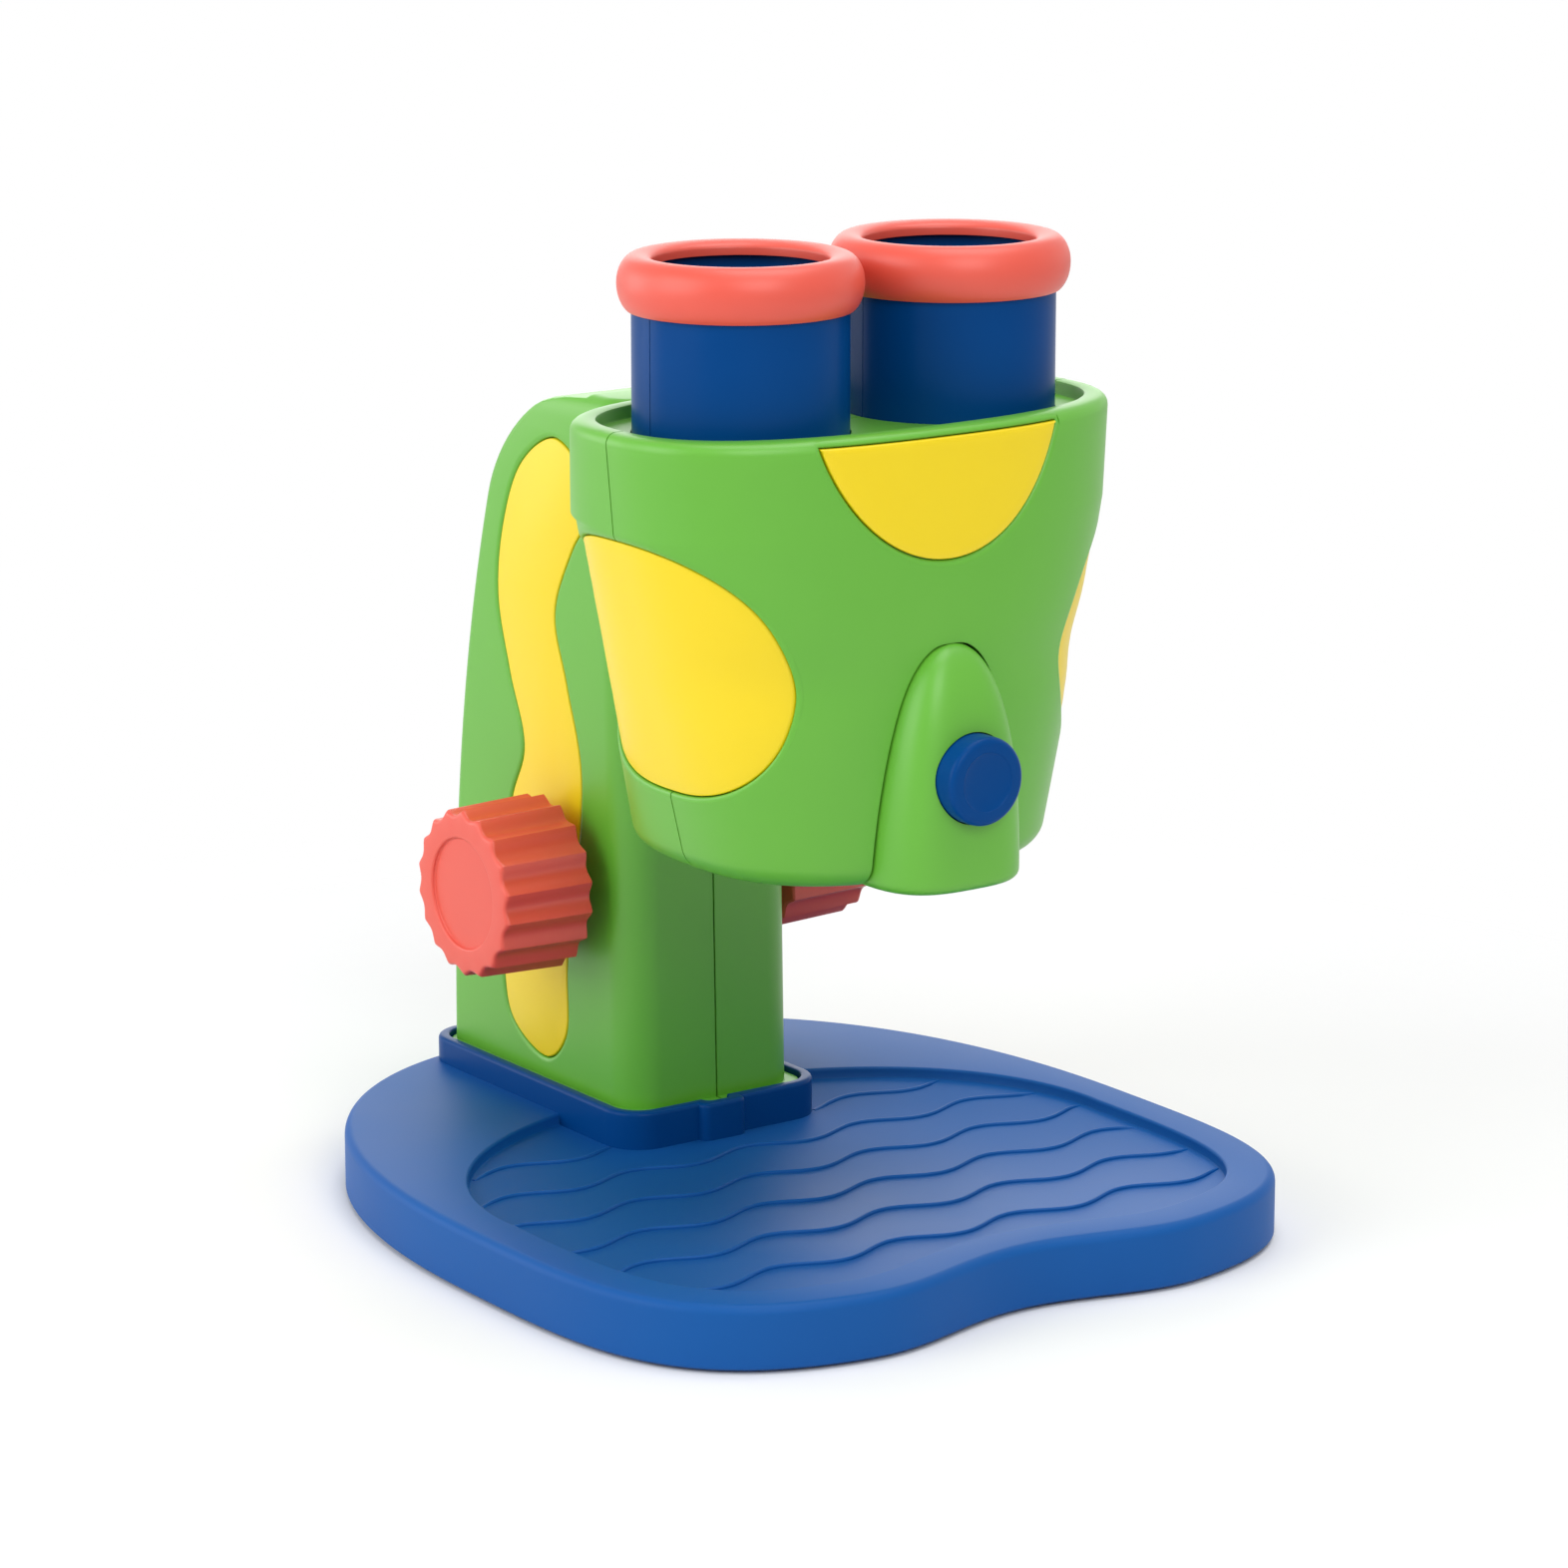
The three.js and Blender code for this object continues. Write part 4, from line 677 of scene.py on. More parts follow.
@dataclass(frozen=True)
class PlatedSteel:
    """Zinc-plated steel with bands from its turning and patches of duller plating.

    The lines of a real lathe are too fine to show. The bands here lie about 3 mm apart.
    """

    name: str
    colour: str
    band_mm: float = math.pi
    band_waver: float = 2.0
    band_strength: float = 0.1
    band_depth_mm: float = 0.02
    patch_mm: float = 6.0
    patch_detail: float = 4.0
    roughness: float = 0.32
    gloss_below: float = 0.1
    gloss_above: float = 0.12

    def material(self) -> bpy.types.Material:
        """Build the steel: bright metal with soft bands and uneven gloss."""
        material, tree, where = blank_material(self.name)
        patches = add_node(tree, "ShaderNodeTexNoise", {
            "Vector": where, "Scale": per_metre(self.patch_mm), "Detail": self.patch_detail,
        })
        gloss = add_node(tree, "ShaderNodeMapRange", {
            "Value": patches.outputs["Fac"],
            "To Min": self.roughness - self.gloss_below,
            "To Max": self.roughness + self.gloss_above,
        })
        bands = add_node(tree, "ShaderNodeTexWave", {
            "Vector": where,
            "Scale": per_metre(self.band_mm) * math.tau / WAVE_TURN,
            "Distortion": self.band_waver,
        })
        bump = add_node(tree, "ShaderNodeBump", {
            "Height": bands.outputs["Fac"],
            "Strength": self.band_strength,
            "Distance": self.band_depth_mm * MM,
        })
        skin = add_node(tree, "ShaderNodeBsdfPrincipled", {
            "Base Color": linear(self.colour),
            "Metallic": 1.0,
            "Roughness": gloss.outputs["Result"],
            "Normal": bump.outputs["Normal"],
        })
        add_node(tree, "ShaderNodeOutputMaterial", {"Surface": skin.outputs["BSDF"]})
        return material


FINISHES = {
    # A coarse matt grain that scatters the light, so that the base shows its colour and hardly a reflection.
    "base_blue": MouldedPlastic("moulded_polypropylene_blue", "0A5098", "0F57A0", 0.5, 0.7, 0.03, shine=0.16),
    # A satin grain with broad soft highlights along every rounded edge, and a little light inside the wall.
    "shell_green": MouldedPlastic(
        "moulded_abs_green", "5DAC2B", "65B133", 0.37, shine=0.5, glow_through=0.05
    ),
    # The same satin as the shells, so that only colour and groove part the panels from them.
    "panel_yellow": MouldedPlastic(
        "moulded_abs_yellow", "EFD006", "F0D410", 0.37, shine=0.4, glow_through=0.05
    ),
    # A smoother grain that keeps long upright reflections on the tubes and lets the dark blue stay dark.
    "tube_blue": MouldedPlastic("moulded_abs_deep_blue", "003E7E", "024485", 0.3, 0.5, 0.012, shine=0.07),
    # Soft vinyl with a wide sheen and a glow from within, which makes rims and knobs look fat and soft.
    "coral": MouldedPlastic(
        "moulded_soft_vinyl_coral", "DF4F3D", "E35644", 0.4, shine=0.55, glow_through=0.06
    ),
    # Dull rubber, so that the feet show as dark shapes without a highlight.
    "foot_rubber": MouldedPlastic("moulded_rubber_black", "262627", "2E2E30", 0.8, 0.6, 0.05),
    # Waxy off-white, the look of gears and bushes that run without oil.
    "nylon": MouldedPlastic("moulded_nylon_natural", "E4E1D6", "ECE9DF", 0.5),
    # Bright metal with soft bands, so that the head of a screw glints unevenly.
    "steel": PlatedSteel("zinc_plated_steel", "B9BCC0"),
    # Clear and glossy, with a faint ripple that bends what is seen through the lens.
    "lens": ClearAcrylic("moulded_acrylic_clear", "EEF4F6"),
    # The lacquer of a circuit board, a dull dark green with a weak sheen.
    "circuit_board": MouldedPlastic("etched_board_green", "2D6B3A", "357443", 0.45),
    # Plain dark plastic of the switch and the battery tray, with a weak sheen.
    "black_plastic": MouldedPlastic("moulded_abs_black", "202124", "28292C", 0.5),
    # Tight shrunk film, so that the cells shine along their length.
    "cell_jacket": MouldedPlastic("shrunk_film_grey", "8F959C", "9AA0A6", 0.3),
    # Cast resin with a milky gloss that hides the chip of the lamp.
    "led_lens": ClearAcrylic("cast_epoxy_clear", "F6F4E6", 0.1),
}


class Palette:
    """The finishes as materials, each made once."""

    def __init__(self) -> None:
        """Build every finish."""
        self.materials = {slot: finish.material() for slot, finish in FINISHES.items()}

    def dress(self, piece: bpy.types.Object, slot: str) -> None:
        """Give a whole piece one finish."""
        piece.data.materials.clear()
        piece.data.materials.append(self.materials[slot])

    def dress_nodes(self) -> None:
        """Give each CAD part that still shows the finish of its slot in the record."""
        for part in frame["record"]["subparts"]:
            node = frame["nodes"].get(part["node"])
            if node is not None:
                for slot in node.material_slots:
                    slot.material = self.materials[part["material_slot"]]


@dataclass
class Maker:
    """Finishes modelled objects as pieces of the microscope."""

    palette: Palette

    def finish(self, piece: bpy.types.Object, body: Body, slot: str, *nodes: str) -> None:
        """Set a piece to metres, smooth it, dress it and let it ride and stand for its CAD parts.

        Args:
            piece: The object, modelled in millimetres.
            body: The body that it rides on.
            slot: The record's material slot.
            *nodes: The CAD parts that it stands for.
        """
        shape = bmesh.new()
        shape.from_mesh(piece.data)
        bmesh.ops.scale(shape, vec=(MM, MM, MM), verts=shape.verts)
        for face in shape.faces:
            face.smooth = True
        for edge in shape.edges:
            edge.smooth = not (edge.is_manifold and edge.calc_face_angle() > SMOOTH_ANGLE)
        shape.to_mesh(piece.data)
        shape.free()
        self.palette.dress(piece, slot)
        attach(piece, body.value)
        if nodes:
            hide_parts(*nodes)
        log.info("%s on %s, %d faces", piece.name, body.value, len(piece.data.polygons))


# Inset panels


@dataclass
class Inset:
    """A panel let into a moulded wall, with a soft bead of the wall round it and a groove between."""

    outline: list[Point]
    place: Place
    sunk: float
    thickness: float
    bead_width: float = 1.5
    bead_drop: float = 1.0
    edge: float = 0.4
    centre: Point | None = None
    fill_steps: int = 10
    pocket_above: float = 4.0

    def ring(self, margin: float, depth: float) -> list[Vector]:
        """The outline grown by a margin and laid at a depth below the wall."""
        return [self.place(p, depth) for p in grown(self.outline, margin)]

    def fill(self, margin: float, depth: float) -> list[list[Vector]]:
        """Rings that shrink from the outline to its centre, at a depth, for a curved wall.

        Args:
            margin: How far the outline is grown.
            depth: Depth below the wall.

        Returns:
            The rings, none on a flat wall.
        """
        if self.centre is None:
            return []
        points = grown(self.outline, margin)
        cx, cy = self.centre
        shares = [1 - step / (self.fill_steps + 0.5) for step in range(1, self.fill_steps + 1)]
        return [
            [self.place((cx + (x - cx) * s, cy + (y - cy) * s), depth) for x, y in points] for s in shares
        ]

    def slab(self, margin: float, top: float, bottom: float, edge: float = 0.0) -> bmesh.types.BMesh:
        """Model a slab that follows the wall.

        Args:
            margin: How far it is grown past the outline.
            top: Depth of its upper face below the wall, negative above it.
            bottom: Depth of its lower face.
            edge: Radius of its upper edge.

        Returns:
            The slab's mesh.
        """
        turns = quarter(3) if edge else [0.0]
        rim = [self.ring(margin - edge * (1 - math.cos(t)), top + edge * (1 - math.sin(t))) for t in turns]
        under = self.fill(margin, bottom)[::-1]
        over = self.fill(margin - edge, top)
        return lofted([*under, self.ring(margin, bottom), *rim, *over])

    def pocket(self) -> bmesh.types.BMesh:
        """The room that is cut in the wall for the panel and its bead."""
        return self.slab(self.bead_width, -self.pocket_above, self.sunk + self.thickness + GAP)

    def bead(self) -> bmesh.types.BMesh:
        """The soft edge of the wall, as a closed hoop in the pocket.

        Returns:
            The hoop's mesh.
        """
        low = self.sunk + self.thickness + GAP
        wide, drop = self.bead_width, self.bead_drop
        over = [(wide * (1 - math.sin(t)), drop * (1 - math.cos(t))) for t in quarter(6)]
        section = [(wide, low), *over, (0.0, low)]
        return lofted([self.ring(margin, depth) for margin, depth in section], hoop=True)

    def panel(self) -> bmesh.types.BMesh:
        """The panel itself, a groove smaller than its pocket."""
        return self.slab(-GAP, self.sunk, self.sunk + self.thickness, self.edge)


# Sub-assemblies


@dataclass
class Base:
    """The broad stage base with its sunk stage, ripples and collar."""

    half_width: float = 104.0
    front_reach: float = 98.0
    rear_reach: float = 139.5
    front_roundness: float = 3.7
    rear_roundness: float = 2.3
    dent_depth: float = 9.5
    dent_half_width: float = 50.0
    skin: float = 0.05
    bottom: float = 0.9
    top: float = 17.0
    edge: float = 2.5
    wall: float = 3.0
    stage_inset: float = 12.5
    stage_depth: float = 3.0
    stage_rear: float = 52.0
    stage_rear_roundness: float = 2.1
    stage_lip: float = 0.8
    # Inset and rise of each step round the stage's floor.
    stage_fillet: tuple[Point, ...] = ((0.0, 0.6), (0.2, 0.2), (0.6, 0.0))
    tray_bevel: float = 0.4
    foot_bevel: float = 0.6
    points: int = 288
    outline_steps: int = 2880
    stage_steps: int = 2000
    ripple_count: int = 6
    ripple_pitch: float = 21.0
    ripple_first: float = 22.0
    ripple_wave: float = 36.0
    ripple_swing: float = 2.6
    ripple_shift: float = 0.35
    ripple_width: float = 1.3
    ripple_height: float = 0.8
    ripple_clear: float = 0.5
    ripple_step: float = 0.5
    ripple_steps: int = 190
    ripple_shortest: int = 16
    ripple_fade: int = 12
    ripple_sides: int = 10
    collar_wall: float = 3.0
    collar_top: float = 24.0
    collar_sunk: float = 1.0
    # Radius of the outer and the inner edge.
    collar_edges: Point = (1.1, 0.6)
    # Where a rib lies each way, and half the length of the one that runs across.
    ribs: tuple[Point, ...] = ((-45.0, 101.0), (45.0, 93.0))
    rib_ends: Point = (-112.0, 105.0)
    rib_half: float = 1.0
    rib_lift: float = 1.0
    boss_radius: float = 8.0
    foot_spots: tuple[Point, ...] = ((-68.0, -80.0), (68.0, -80.0), (-68.0, 58.0), (68.0, 58.0))

    @property
    def stage_floor(self) -> float:
        """Level of the sunk stage."""
        return self.top - self.stage_depth

    def outline(self) -> list[Point]:
        """The base's outline, half its points behind the widest line and half before it.

        Returns:
            The points of the outline.
        """
        rear, front = [], []
        for turn in sweep(0, math.pi, self.outline_steps):
            rear.append(oval_point(turn, self.half_width, self.rear_reach, self.rear_roundness))
            x, y = oval_point(math.pi + turn, self.half_width, self.front_reach, self.front_roundness)
            if abs(x) < self.dent_half_width:
                y += self.dent_depth / 2 * (1 + math.cos(math.pi * x / self.dent_half_width))
            front.append((x, y))
        loop = [*spaced(rear, self.points // 2), *spaced(front, self.points // 2)]
        low, high = box_mm("base_plate")
        across = high.x / self.half_width
        rear_end, front_end = max(y for _, y in loop), min(y for _, y in loop)
        along = (high.y - low.y) / (rear_end - front_end)
        return [(x * across, low.y + (y - front_end) * along) for x, y in loop]

    def stage_outline(self, outer: Sequence[Point]) -> list[Point]:
        """The sunk stage's outline: an oval back, and the base's front pulled in.

        Args:
            outer: The base's outline.

        Returns:
            As many points as the base's outline has, in the same turn.
        """
        half = self.half_width - self.stage_inset
        widest = outer[0][1]
        rise = self.stage_rear - widest
        turns = sweep(0, math.pi, self.stage_steps)
        oval = [oval_point(t, half, rise, self.stage_rear_roundness) for t in turns]
        rear = spaced([(x, widest + y) for x, y in oval], self.points // 2)
        front = grown(outer, -self.stage_inset)[self.points // 2 :]
        return [*rear, *spaced([(-half, widest), *front[1:], (half, widest)], self.points // 2)]

    def build(self, maker: Maker) -> None:
        """Model and dress the base with its stage and its collar.

        Args:
            maker: Finishes the pieces.
        """
        outer = self.outline()
        stage = self.stage_outline(outer)
        tray_top = self.stage_floor - self.wall

        def level(outline: Sequence[Point], inset: float, z: float) -> list[Vector]:
            """An outline pulled in and laid at a level."""
            return laid(grown(outline, -inset), z)

        turns = quarter(6)
        inner = self.skin + self.wall
        rings = [level(outer, inner, tray_top), level(outer, inner, self.bottom + self.tray_bevel)]
        rings.append(level(outer, inner - self.tray_bevel, self.bottom))
        rings.append(level(outer, self.skin + self.foot_bevel, self.bottom))
        rings.append(level(outer, self.skin, self.bottom + self.foot_bevel))
        for t in turns:
            inset = self.skin + self.edge * (1 - math.cos(t))
            rings.append(level(outer, inset, self.top - self.edge * (1 - math.sin(t))))
        for t in turns:
            inset = self.stage_lip * (math.sin(t) - 1)
            rings.append(level(stage, inset, self.top - self.stage_lip * (1 - math.cos(t))))
        rings += [level(stage, inset, self.stage_floor + rise) for inset, rise in self.stage_fillet]
        shape = lofted(rings)
        self.add_ripples(shape, stage)
        self.add_underside(shape, tray_top)
        maker.finish(raw_object("base_moulding", shape), Body.STAND, "base_blue", "base_plate")
        maker.finish(raw_object("base_collar", self.collar()), Body.STAND, "tube_blue")

    def collar(self) -> bmesh.types.BMesh:
        """Model the deep blue collar that the column's foot stands in.

        Returns:
            The collar's mesh.
        """
        wall = GAP + self.collar_wall
        low, high = self.stage_floor - self.collar_sunk, self.collar_top
        outer, inner = self.collar_edges
        section = softened([(wall, low), (wall, high, outer), (GAP, high, inner), (GAP, low)])
        return lofted([laid(Column().foot_outline(m), z) for m, z in section], hoop=True)

    def add_ripples(self, shape: bmesh.types.BMesh, stage: Sequence[Point]) -> None:
        """Add the wavy ripples that lie on the stage, each as far as the stage's edge and the collar.

        Args:
            shape: The mesh that it is added to.
            stage: The stage's outline.
        """
        room = grown(stage, -self.ripple_clear)
        collar = Column().foot_outline(GAP + self.collar_wall + GAP)
        for r in range(self.ripple_count):
            middle = self.ripple_first - r * self.ripple_pitch
            run: list[Point] = []
            for step in range(-self.ripple_steps, self.ripple_steps + 1):
                x = step * self.ripple_step
                turn = math.tau * (x / self.ripple_wave + r * self.ripple_shift)
                point = (x, middle + self.ripple_swing * math.sin(turn))
                if inside(point, room) and not inside(point, collar):
                    run.append(point)
                    continue
                if len(run) > self.ripple_shortest:
                    self.add_ripple(shape, run)
                run = []

    def add_ripple(self, shape: bmesh.types.BMesh, run: Sequence[Point]) -> None:
        """Add one ripple along its run of points, half round and fading at its ends.

        Args:
            shape: The mesh that it is added to.
            run: The points that it follows.
        """
        rings = []
        for i, (x, y) in enumerate(run):
            before, after = run[max(i - 1, 0)], run[min(i + 1, len(run) - 1)]
            along = Vector((after[0] - before[0], after[1] - before[1])).normalized()
            fade = min(1.0, (min(i, len(run) - 1 - i) + 1) / self.ripple_fade) ** 0.5
            ring = []
            for angle in sweep(0, math.tau, self.ripple_sides)[:-1]:
                across = self.ripple_width / 2 * math.cos(angle)
                rise = self.ripple_height * fade * math.sin(angle)
                ring.append(Vector((x - along.y * across, y + along.x * across, self.stage_floor + rise)))
            rings.append(ring)
        loft(shape, rings)

    def add_underside(self, shape: bmesh.types.BMesh, tray_top: float) -> None:
        """Add the ribs and foot bosses of the hollow underside.

        Args:
            shape: The mesh that it is added to.
            tray_top: Level of the tray's ceiling.
        """
        low, high = self.bottom + self.rib_lift, tray_top + PAST
        front, rear = self.rib_ends
        thin = self.rib_half
        for at, half in self.ribs:
            brick(shape, (at - thin, front, low), (at + thin, rear, high))
            brick(shape, (-half, at - thin, low + self.rib_lift), (half, at + thin, high))
        for x, y in self.foot_spots:
            rod(shape, self.boss_radius, Vector((x, y, self.bottom)), Vector((x, y, high)))


@dataclass
class Feet:
    """The four rubber feet."""

    radius: float = 8.0
    proud: float = 0.8
    plug_radius: float = 5.0
    plug_top: float = 4.8
    edge: float = 0.35
    upper_edge: float = 0.15
    plug_edge: float = 0.5

    def build(self, maker: Maker) -> None:
        """Model and dress the feet.

        Args:
            maker: Finishes the pieces.
        """
        profile = softened(
            [(0, 0), (self.radius, 0, self.edge), (self.radius, self.proud, self.upper_edge),
             (self.plug_radius, self.proud), (self.plug_radius, self.plug_top, self.plug_edge),
             (0, self.plug_top)]
        )
        names = ("front_left", "front_right", "rear_left", "rear_right")
        for name, (x, y) in zip(names, Base().foot_spots):
            shape = turned(profile, steps=48)
            bmesh.ops.translate(shape, vec=(x, y, 0), verts=shape.verts)
            foot = raw_object(f"rubber_foot_{name}", shape)
            maker.finish(foot, Body.STAND, "foot_rubber", f"foot_{name}")


@dataclass
class Column:
    """The green column of two half shells, with an S-shaped inlay in each side."""

    half_width: float = 26.5
    front: float = 21.0
    rear: float = 110.0
    base: float = 17.0
    top: float = 208.5
    front_draft: float = 4.5
    rear_lean: float = 31.0
    lean_power: float = 2.47
    crown: float = 32.5
    crown_length: float = 33.0
    crown_power: float = 2.0
    top_edge: float = 6.0
    top_edge_share: float = 0.6
    front_corner: float = 10.0
    rear_corner: float = 4.0
    least_corner: float = 1.0
    wall: float = 2.6
    foot_bottom: float = 17.3
    foot_top: float = 22.8
    foot_ledge: float = 2.0
    # Inset and drop of each step of the upper edge.
    foot_edge: tuple[Point, ...] = ((0.0, 0.8), (0.25, 0.25), (0.8, 0.0))
    foot_corner: float = 7.0
    tab_half_width: float = 3.7
    tab_x: float = -2.5
    tab_proud: float = 2.5
    # Places in Y and Z that the edge of the inlay passes through.
    inlay_places: tuple[Point, ...] = (
        (62, 28), (79, 35), (83, 48), (78.5, 95), (72, 111), (78.5, 129.5), (84, 150), (81, 170), (72, 187),
        (56, 195.5), (44, 189), (40, 178), (48, 167), (56.4, 149), (51, 131), (44.5, 108), (52, 56), (53, 36),
    )
    shaft: Point = (52.0, 80.0)
    bush_radius: float = 5.8
    slot_half_width: float = 12.1
    slot_levels: Point = (119.7, 186.3)
    slot_back: float = 30.4
    slot_ahead: float = 5.0
    seam: float = 0.5
    screw_sunk: float = 1.0
    screw_inset: float = 6.6

    def foot_outline(self, margin: float) -> list[Point]:
        """The foot's outline grown by a margin, with a tab at its front.

        Args:
            margin: How far it is grown.

        Returns:
            The points of the outline.
        """
        half = self.half_width + self.foot_ledge + margin
        front = self.front - self.foot_ledge - margin
        rear = self.rear + self.foot_ledge + margin
        corner, tab, proud = self.foot_corner + margin, self.tab_half_width + margin, self.tab_proud
        return [
            *arc((half - corner, rear - corner), corner, 0, 90, 8),
            *arc((corner - half, rear - corner), corner, 90, 180, 8),
            *arc((corner - half, front + corner), corner, 180, 270, 8),
            *arc((self.tab_x + proud - tab, front), proud, 180, 270, 5),
            *arc((self.tab_x + tab - proud, front), proud, 270, 360, 5),
            *arc((half - corner, front + corner), corner, 270, 360, 8),
        ]

    def rear_at(self, z: float) -> float:
        """Where the back lies at a level: it leans forward, then rounds over at the crown.

        Args:
            z: The level.

        Returns:
            The Y of the back.
        """
        shoulder = self.top - self.crown

        def lean(level: float) -> float:
            """The leaning line of the back."""
            share = max(0.0, level - self.base) / (self.top - self.base)
            return self.rear - self.rear_lean * share**self.lean_power

        share = (z - shoulder) / self.crown
        if share <= 0:
            return lean(z)
        over = 1 - max(0.0, 1 - share**self.crown_power) ** (1 / self.crown_power)
        return lean(z) - self.crown_length * over

    def ring(self, z: float, inset: float) -> list[Vector]:
        """The column's section at a level, pulled in by an inset.

        Args:
            z: The level.
            inset: How far it is pulled in, negative outwards.

        Returns:
            The points of the section.
        """
        half = self.half_width - inset
        front = self.front + self.front_draft * (z - self.base) / (self.top - self.base) + inset
        rear = self.rear_at(z + inset) - inset
        ahead, behind = self.front_corner - inset, max(self.rear_corner - inset, self.least_corner)
        outline = [
            *arc((half - behind, rear - behind), behind, 0, 90, 8),
            *arc((behind - half, rear - behind), behind, 90, 180, 8),
            *arc((ahead - half, front + ahead), ahead, 180, 270, 14),
            *arc((half - ahead, front + ahead), ahead, 270, 360, 14),
        ]
        return laid(outline, z)

    def form(self, inset: float) -> bmesh.types.BMesh:
        """Model the column's closed form, pulled in by an inset.

        Args:
            inset: How far it is pulled in, negative outwards.

        Returns:
            The form's mesh.
        """
        top, shoulder = self.top - inset, self.top - self.crown - inset
        levels = sweep(self.foot_bottom, shoulder, 30)[:-1]
        levels += [shoulder + (top - shoulder) * math.sin(t) for t in quarter(18)]
        edge = self.top_edge

        def soften(z: float) -> float:
            """How far the round top edge pulls a level in."""
            return edge * (1 - math.sqrt(max(0.0, 1 - (max(0.0, z - top + edge) / edge) ** 2)))

        return lofted([self.ring(z, inset + self.top_edge_share * soften(z)) for z in levels])

    def inlay(self, side: Side) -> Inset:
        """The S-shaped inlay of one side.

        Args:
            side: The side.

        Returns:
            The inlay.
        """
        curve = flowing_loop(self.inlay_places, steps=24)
        outline = spaced([*curve, curve[0]], count=200)

        def place(point: Point, depth: float) -> Vector:
            """A place on the side wall."""
            return Vector((side.value * (self.half_width - depth), *point))

        return Inset(outline, place, sunk=0.15, thickness=2.0, bead_width=1.2, bead_drop=0.8, edge=0.5)

    def screw_shift(self, node: str) -> Vector:
        """How far a screw stands from its CAD part, so that it lies in the finer wall.

        Args:
            node: The screw's CAD part.

        Returns:
            The shift in millimetres.
        """
        low, high = box_mm(node)
        middle = (low + high) / 2
        behind = middle.y > self.shaft[0]
        rearward = self.rear_at(middle.z) - self.screw_inset - middle.y if behind else 0.0
        return Vector((self.half_width - self.screw_sunk - high.x, rearward, 0))

    def build(self, maker: Maker) -> None:
        """Model and dress the two half shells and their inlays.

        Args:
            maker: Finishes the pieces.
        """
        column = raw_object("column", self.form(0))
        section = [(0.0, self.foot_bottom)]
        section += [(-inset, self.foot_top - drop) for inset, drop in self.foot_edge]
        carve(column, lofted([laid(self.foot_outline(m), z) for m, z in section]), Carving.JOIN)
        carve(column, self.form(self.wall))
        for side in Side:
            carve(column, self.inlay(side).pocket())
        openings = bmesh.new()
        low, high = self.slot_levels
        brick(openings, (-self.slot_half_width, self.front - self.slot_ahead, low),
              (self.slot_half_width, self.slot_back, high))
        rod(openings, self.bush_radius, Vector((-FAR, *self.shaft)), Vector((FAR, *self.shaft)))
        for i in range(1, 5):
            low, high = box_mm(f"column_screw_{i}")
            seat = Vector((high.x - Screws.height - GAP, (low.y + high.y) / 2, (low.z + high.z) / 2))
            seat += self.screw_shift(f"column_screw_{i}")
            rod(openings, Screws.head + GAP, seat, seat + Vector((FAR, 0, 0)), sides=32)
        carve(column, openings)

        for side in Side:
            shell = duplicate(column, f"column_half_{side.word}")
            keep_beyond(shell, (side.value * self.seam / 2, 0, 0), (side.value, 0, 0))
            inset = self.inlay(side)
            add_to(shell, inset.bead())
            maker.finish(shell, Body.STAND, "shell_green", f"column_{side.word}_shell")
            panel = raw_object(f"s_inlay_{side.word}", inset.panel())
            hole = bmesh.new()
            rod(hole, self.bush_radius, Vector((-FAR, *self.shaft)), Vector((FAR, *self.shaft)))
            carve(panel, hole)
            maker.finish(panel, Body.STAND, "panel_yellow", f"column_inlay_{side.word}")
        discard(column)


@dataclass
class Knobs:
    """The fluted focus knobs on both ends of the shaft."""

    radius: float = 22.9
    length: float = 26.0
    start: float = 32.6
    hub_radius: float = 9.0
    hub_start: float = 28.6
    flutes: int = 18
    flute_depth: float = 1.8
    flute_points: int = 10
    flute_power: float = 1.3
    flute_fade: float = 0.35
    draft: float = 0.8
    edge: float = 1.5
    disc_radius: float = 14.5
    disc_depth: float = 1.0
    disc_lip: float = 0.7
    disc_draft: float = 0.3
    disc_centre: float = 0.5
    # Inset and distance along the axis of each step of the back edge.
    back_edge: tuple[Point, ...] = ((0.6, 0.0), (0.0, 0.5))

    def ring(self, radius: float, along: float, wave: float) -> list[Vector]:
        """A fluted ring about the shaft's axis, standing on Z.

        Args:
            radius: Its outer radius.
            along: Its place along the axis.
            wave: Share of the full flute depth.

        Returns:
            The points of the ring.
        """
        points = []
        for angle in sweep(0, math.tau, self.flutes * self.flute_points)[:-1]:
            dip = self.flute_depth * wave * abs(math.sin(angle * self.flutes / 2)) ** self.flute_power
            points.append(Vector(((radius - dip) * math.cos(angle), (radius - dip) * math.sin(angle), along)))
        return points

    def build(self, maker: Maker) -> None:
        """Model and dress both knobs.

        Args:
            maker: Finishes the pieces.
        """
        tip, end = self.radius - self.draft, self.length
        turns = quarter(6)
        rings = [self.ring(self.hub_radius, along, 0.0) for along in (self.hub_start - self.start, 0.0)]
        rings += [self.ring(self.radius - inset, along, 1.0) for inset, along in self.back_edge]
        for t in turns:
            wave = 1 - self.flute_fade * math.sin(t)
            along = end - self.edge * (1 - math.sin(t))
            rings.append(self.ring(tip - self.edge * (1 - math.cos(t)), along, wave))
        disc, lip = self.disc_radius, self.disc_lip
        for t in turns:
            rings.append(self.ring(disc + lip * (1 - math.sin(t)), end - lip * (1 - math.cos(t)), 0.0))
        for radius in (disc - self.disc_draft, disc * self.disc_centre):
            rings.append(self.ring(radius, end - self.disc_depth, 0.0))
        for side in Side:
            shape = lofted(rings)
            turn = Matrix.Rotation(side.value * math.pi / 2, 3, "Y")
            bmesh.ops.rotate(shape, matrix=turn, verts=shape.verts)
            bmesh.ops.translate(shape, vec=(side.value * self.start, *Column.shaft), verts=shape.verts)
            knob = raw_object(f"fluted_knob_{side.word}", shape)
            maker.finish(knob, Body.FOCUS, "coral", f"focus_knob_{side.word}")


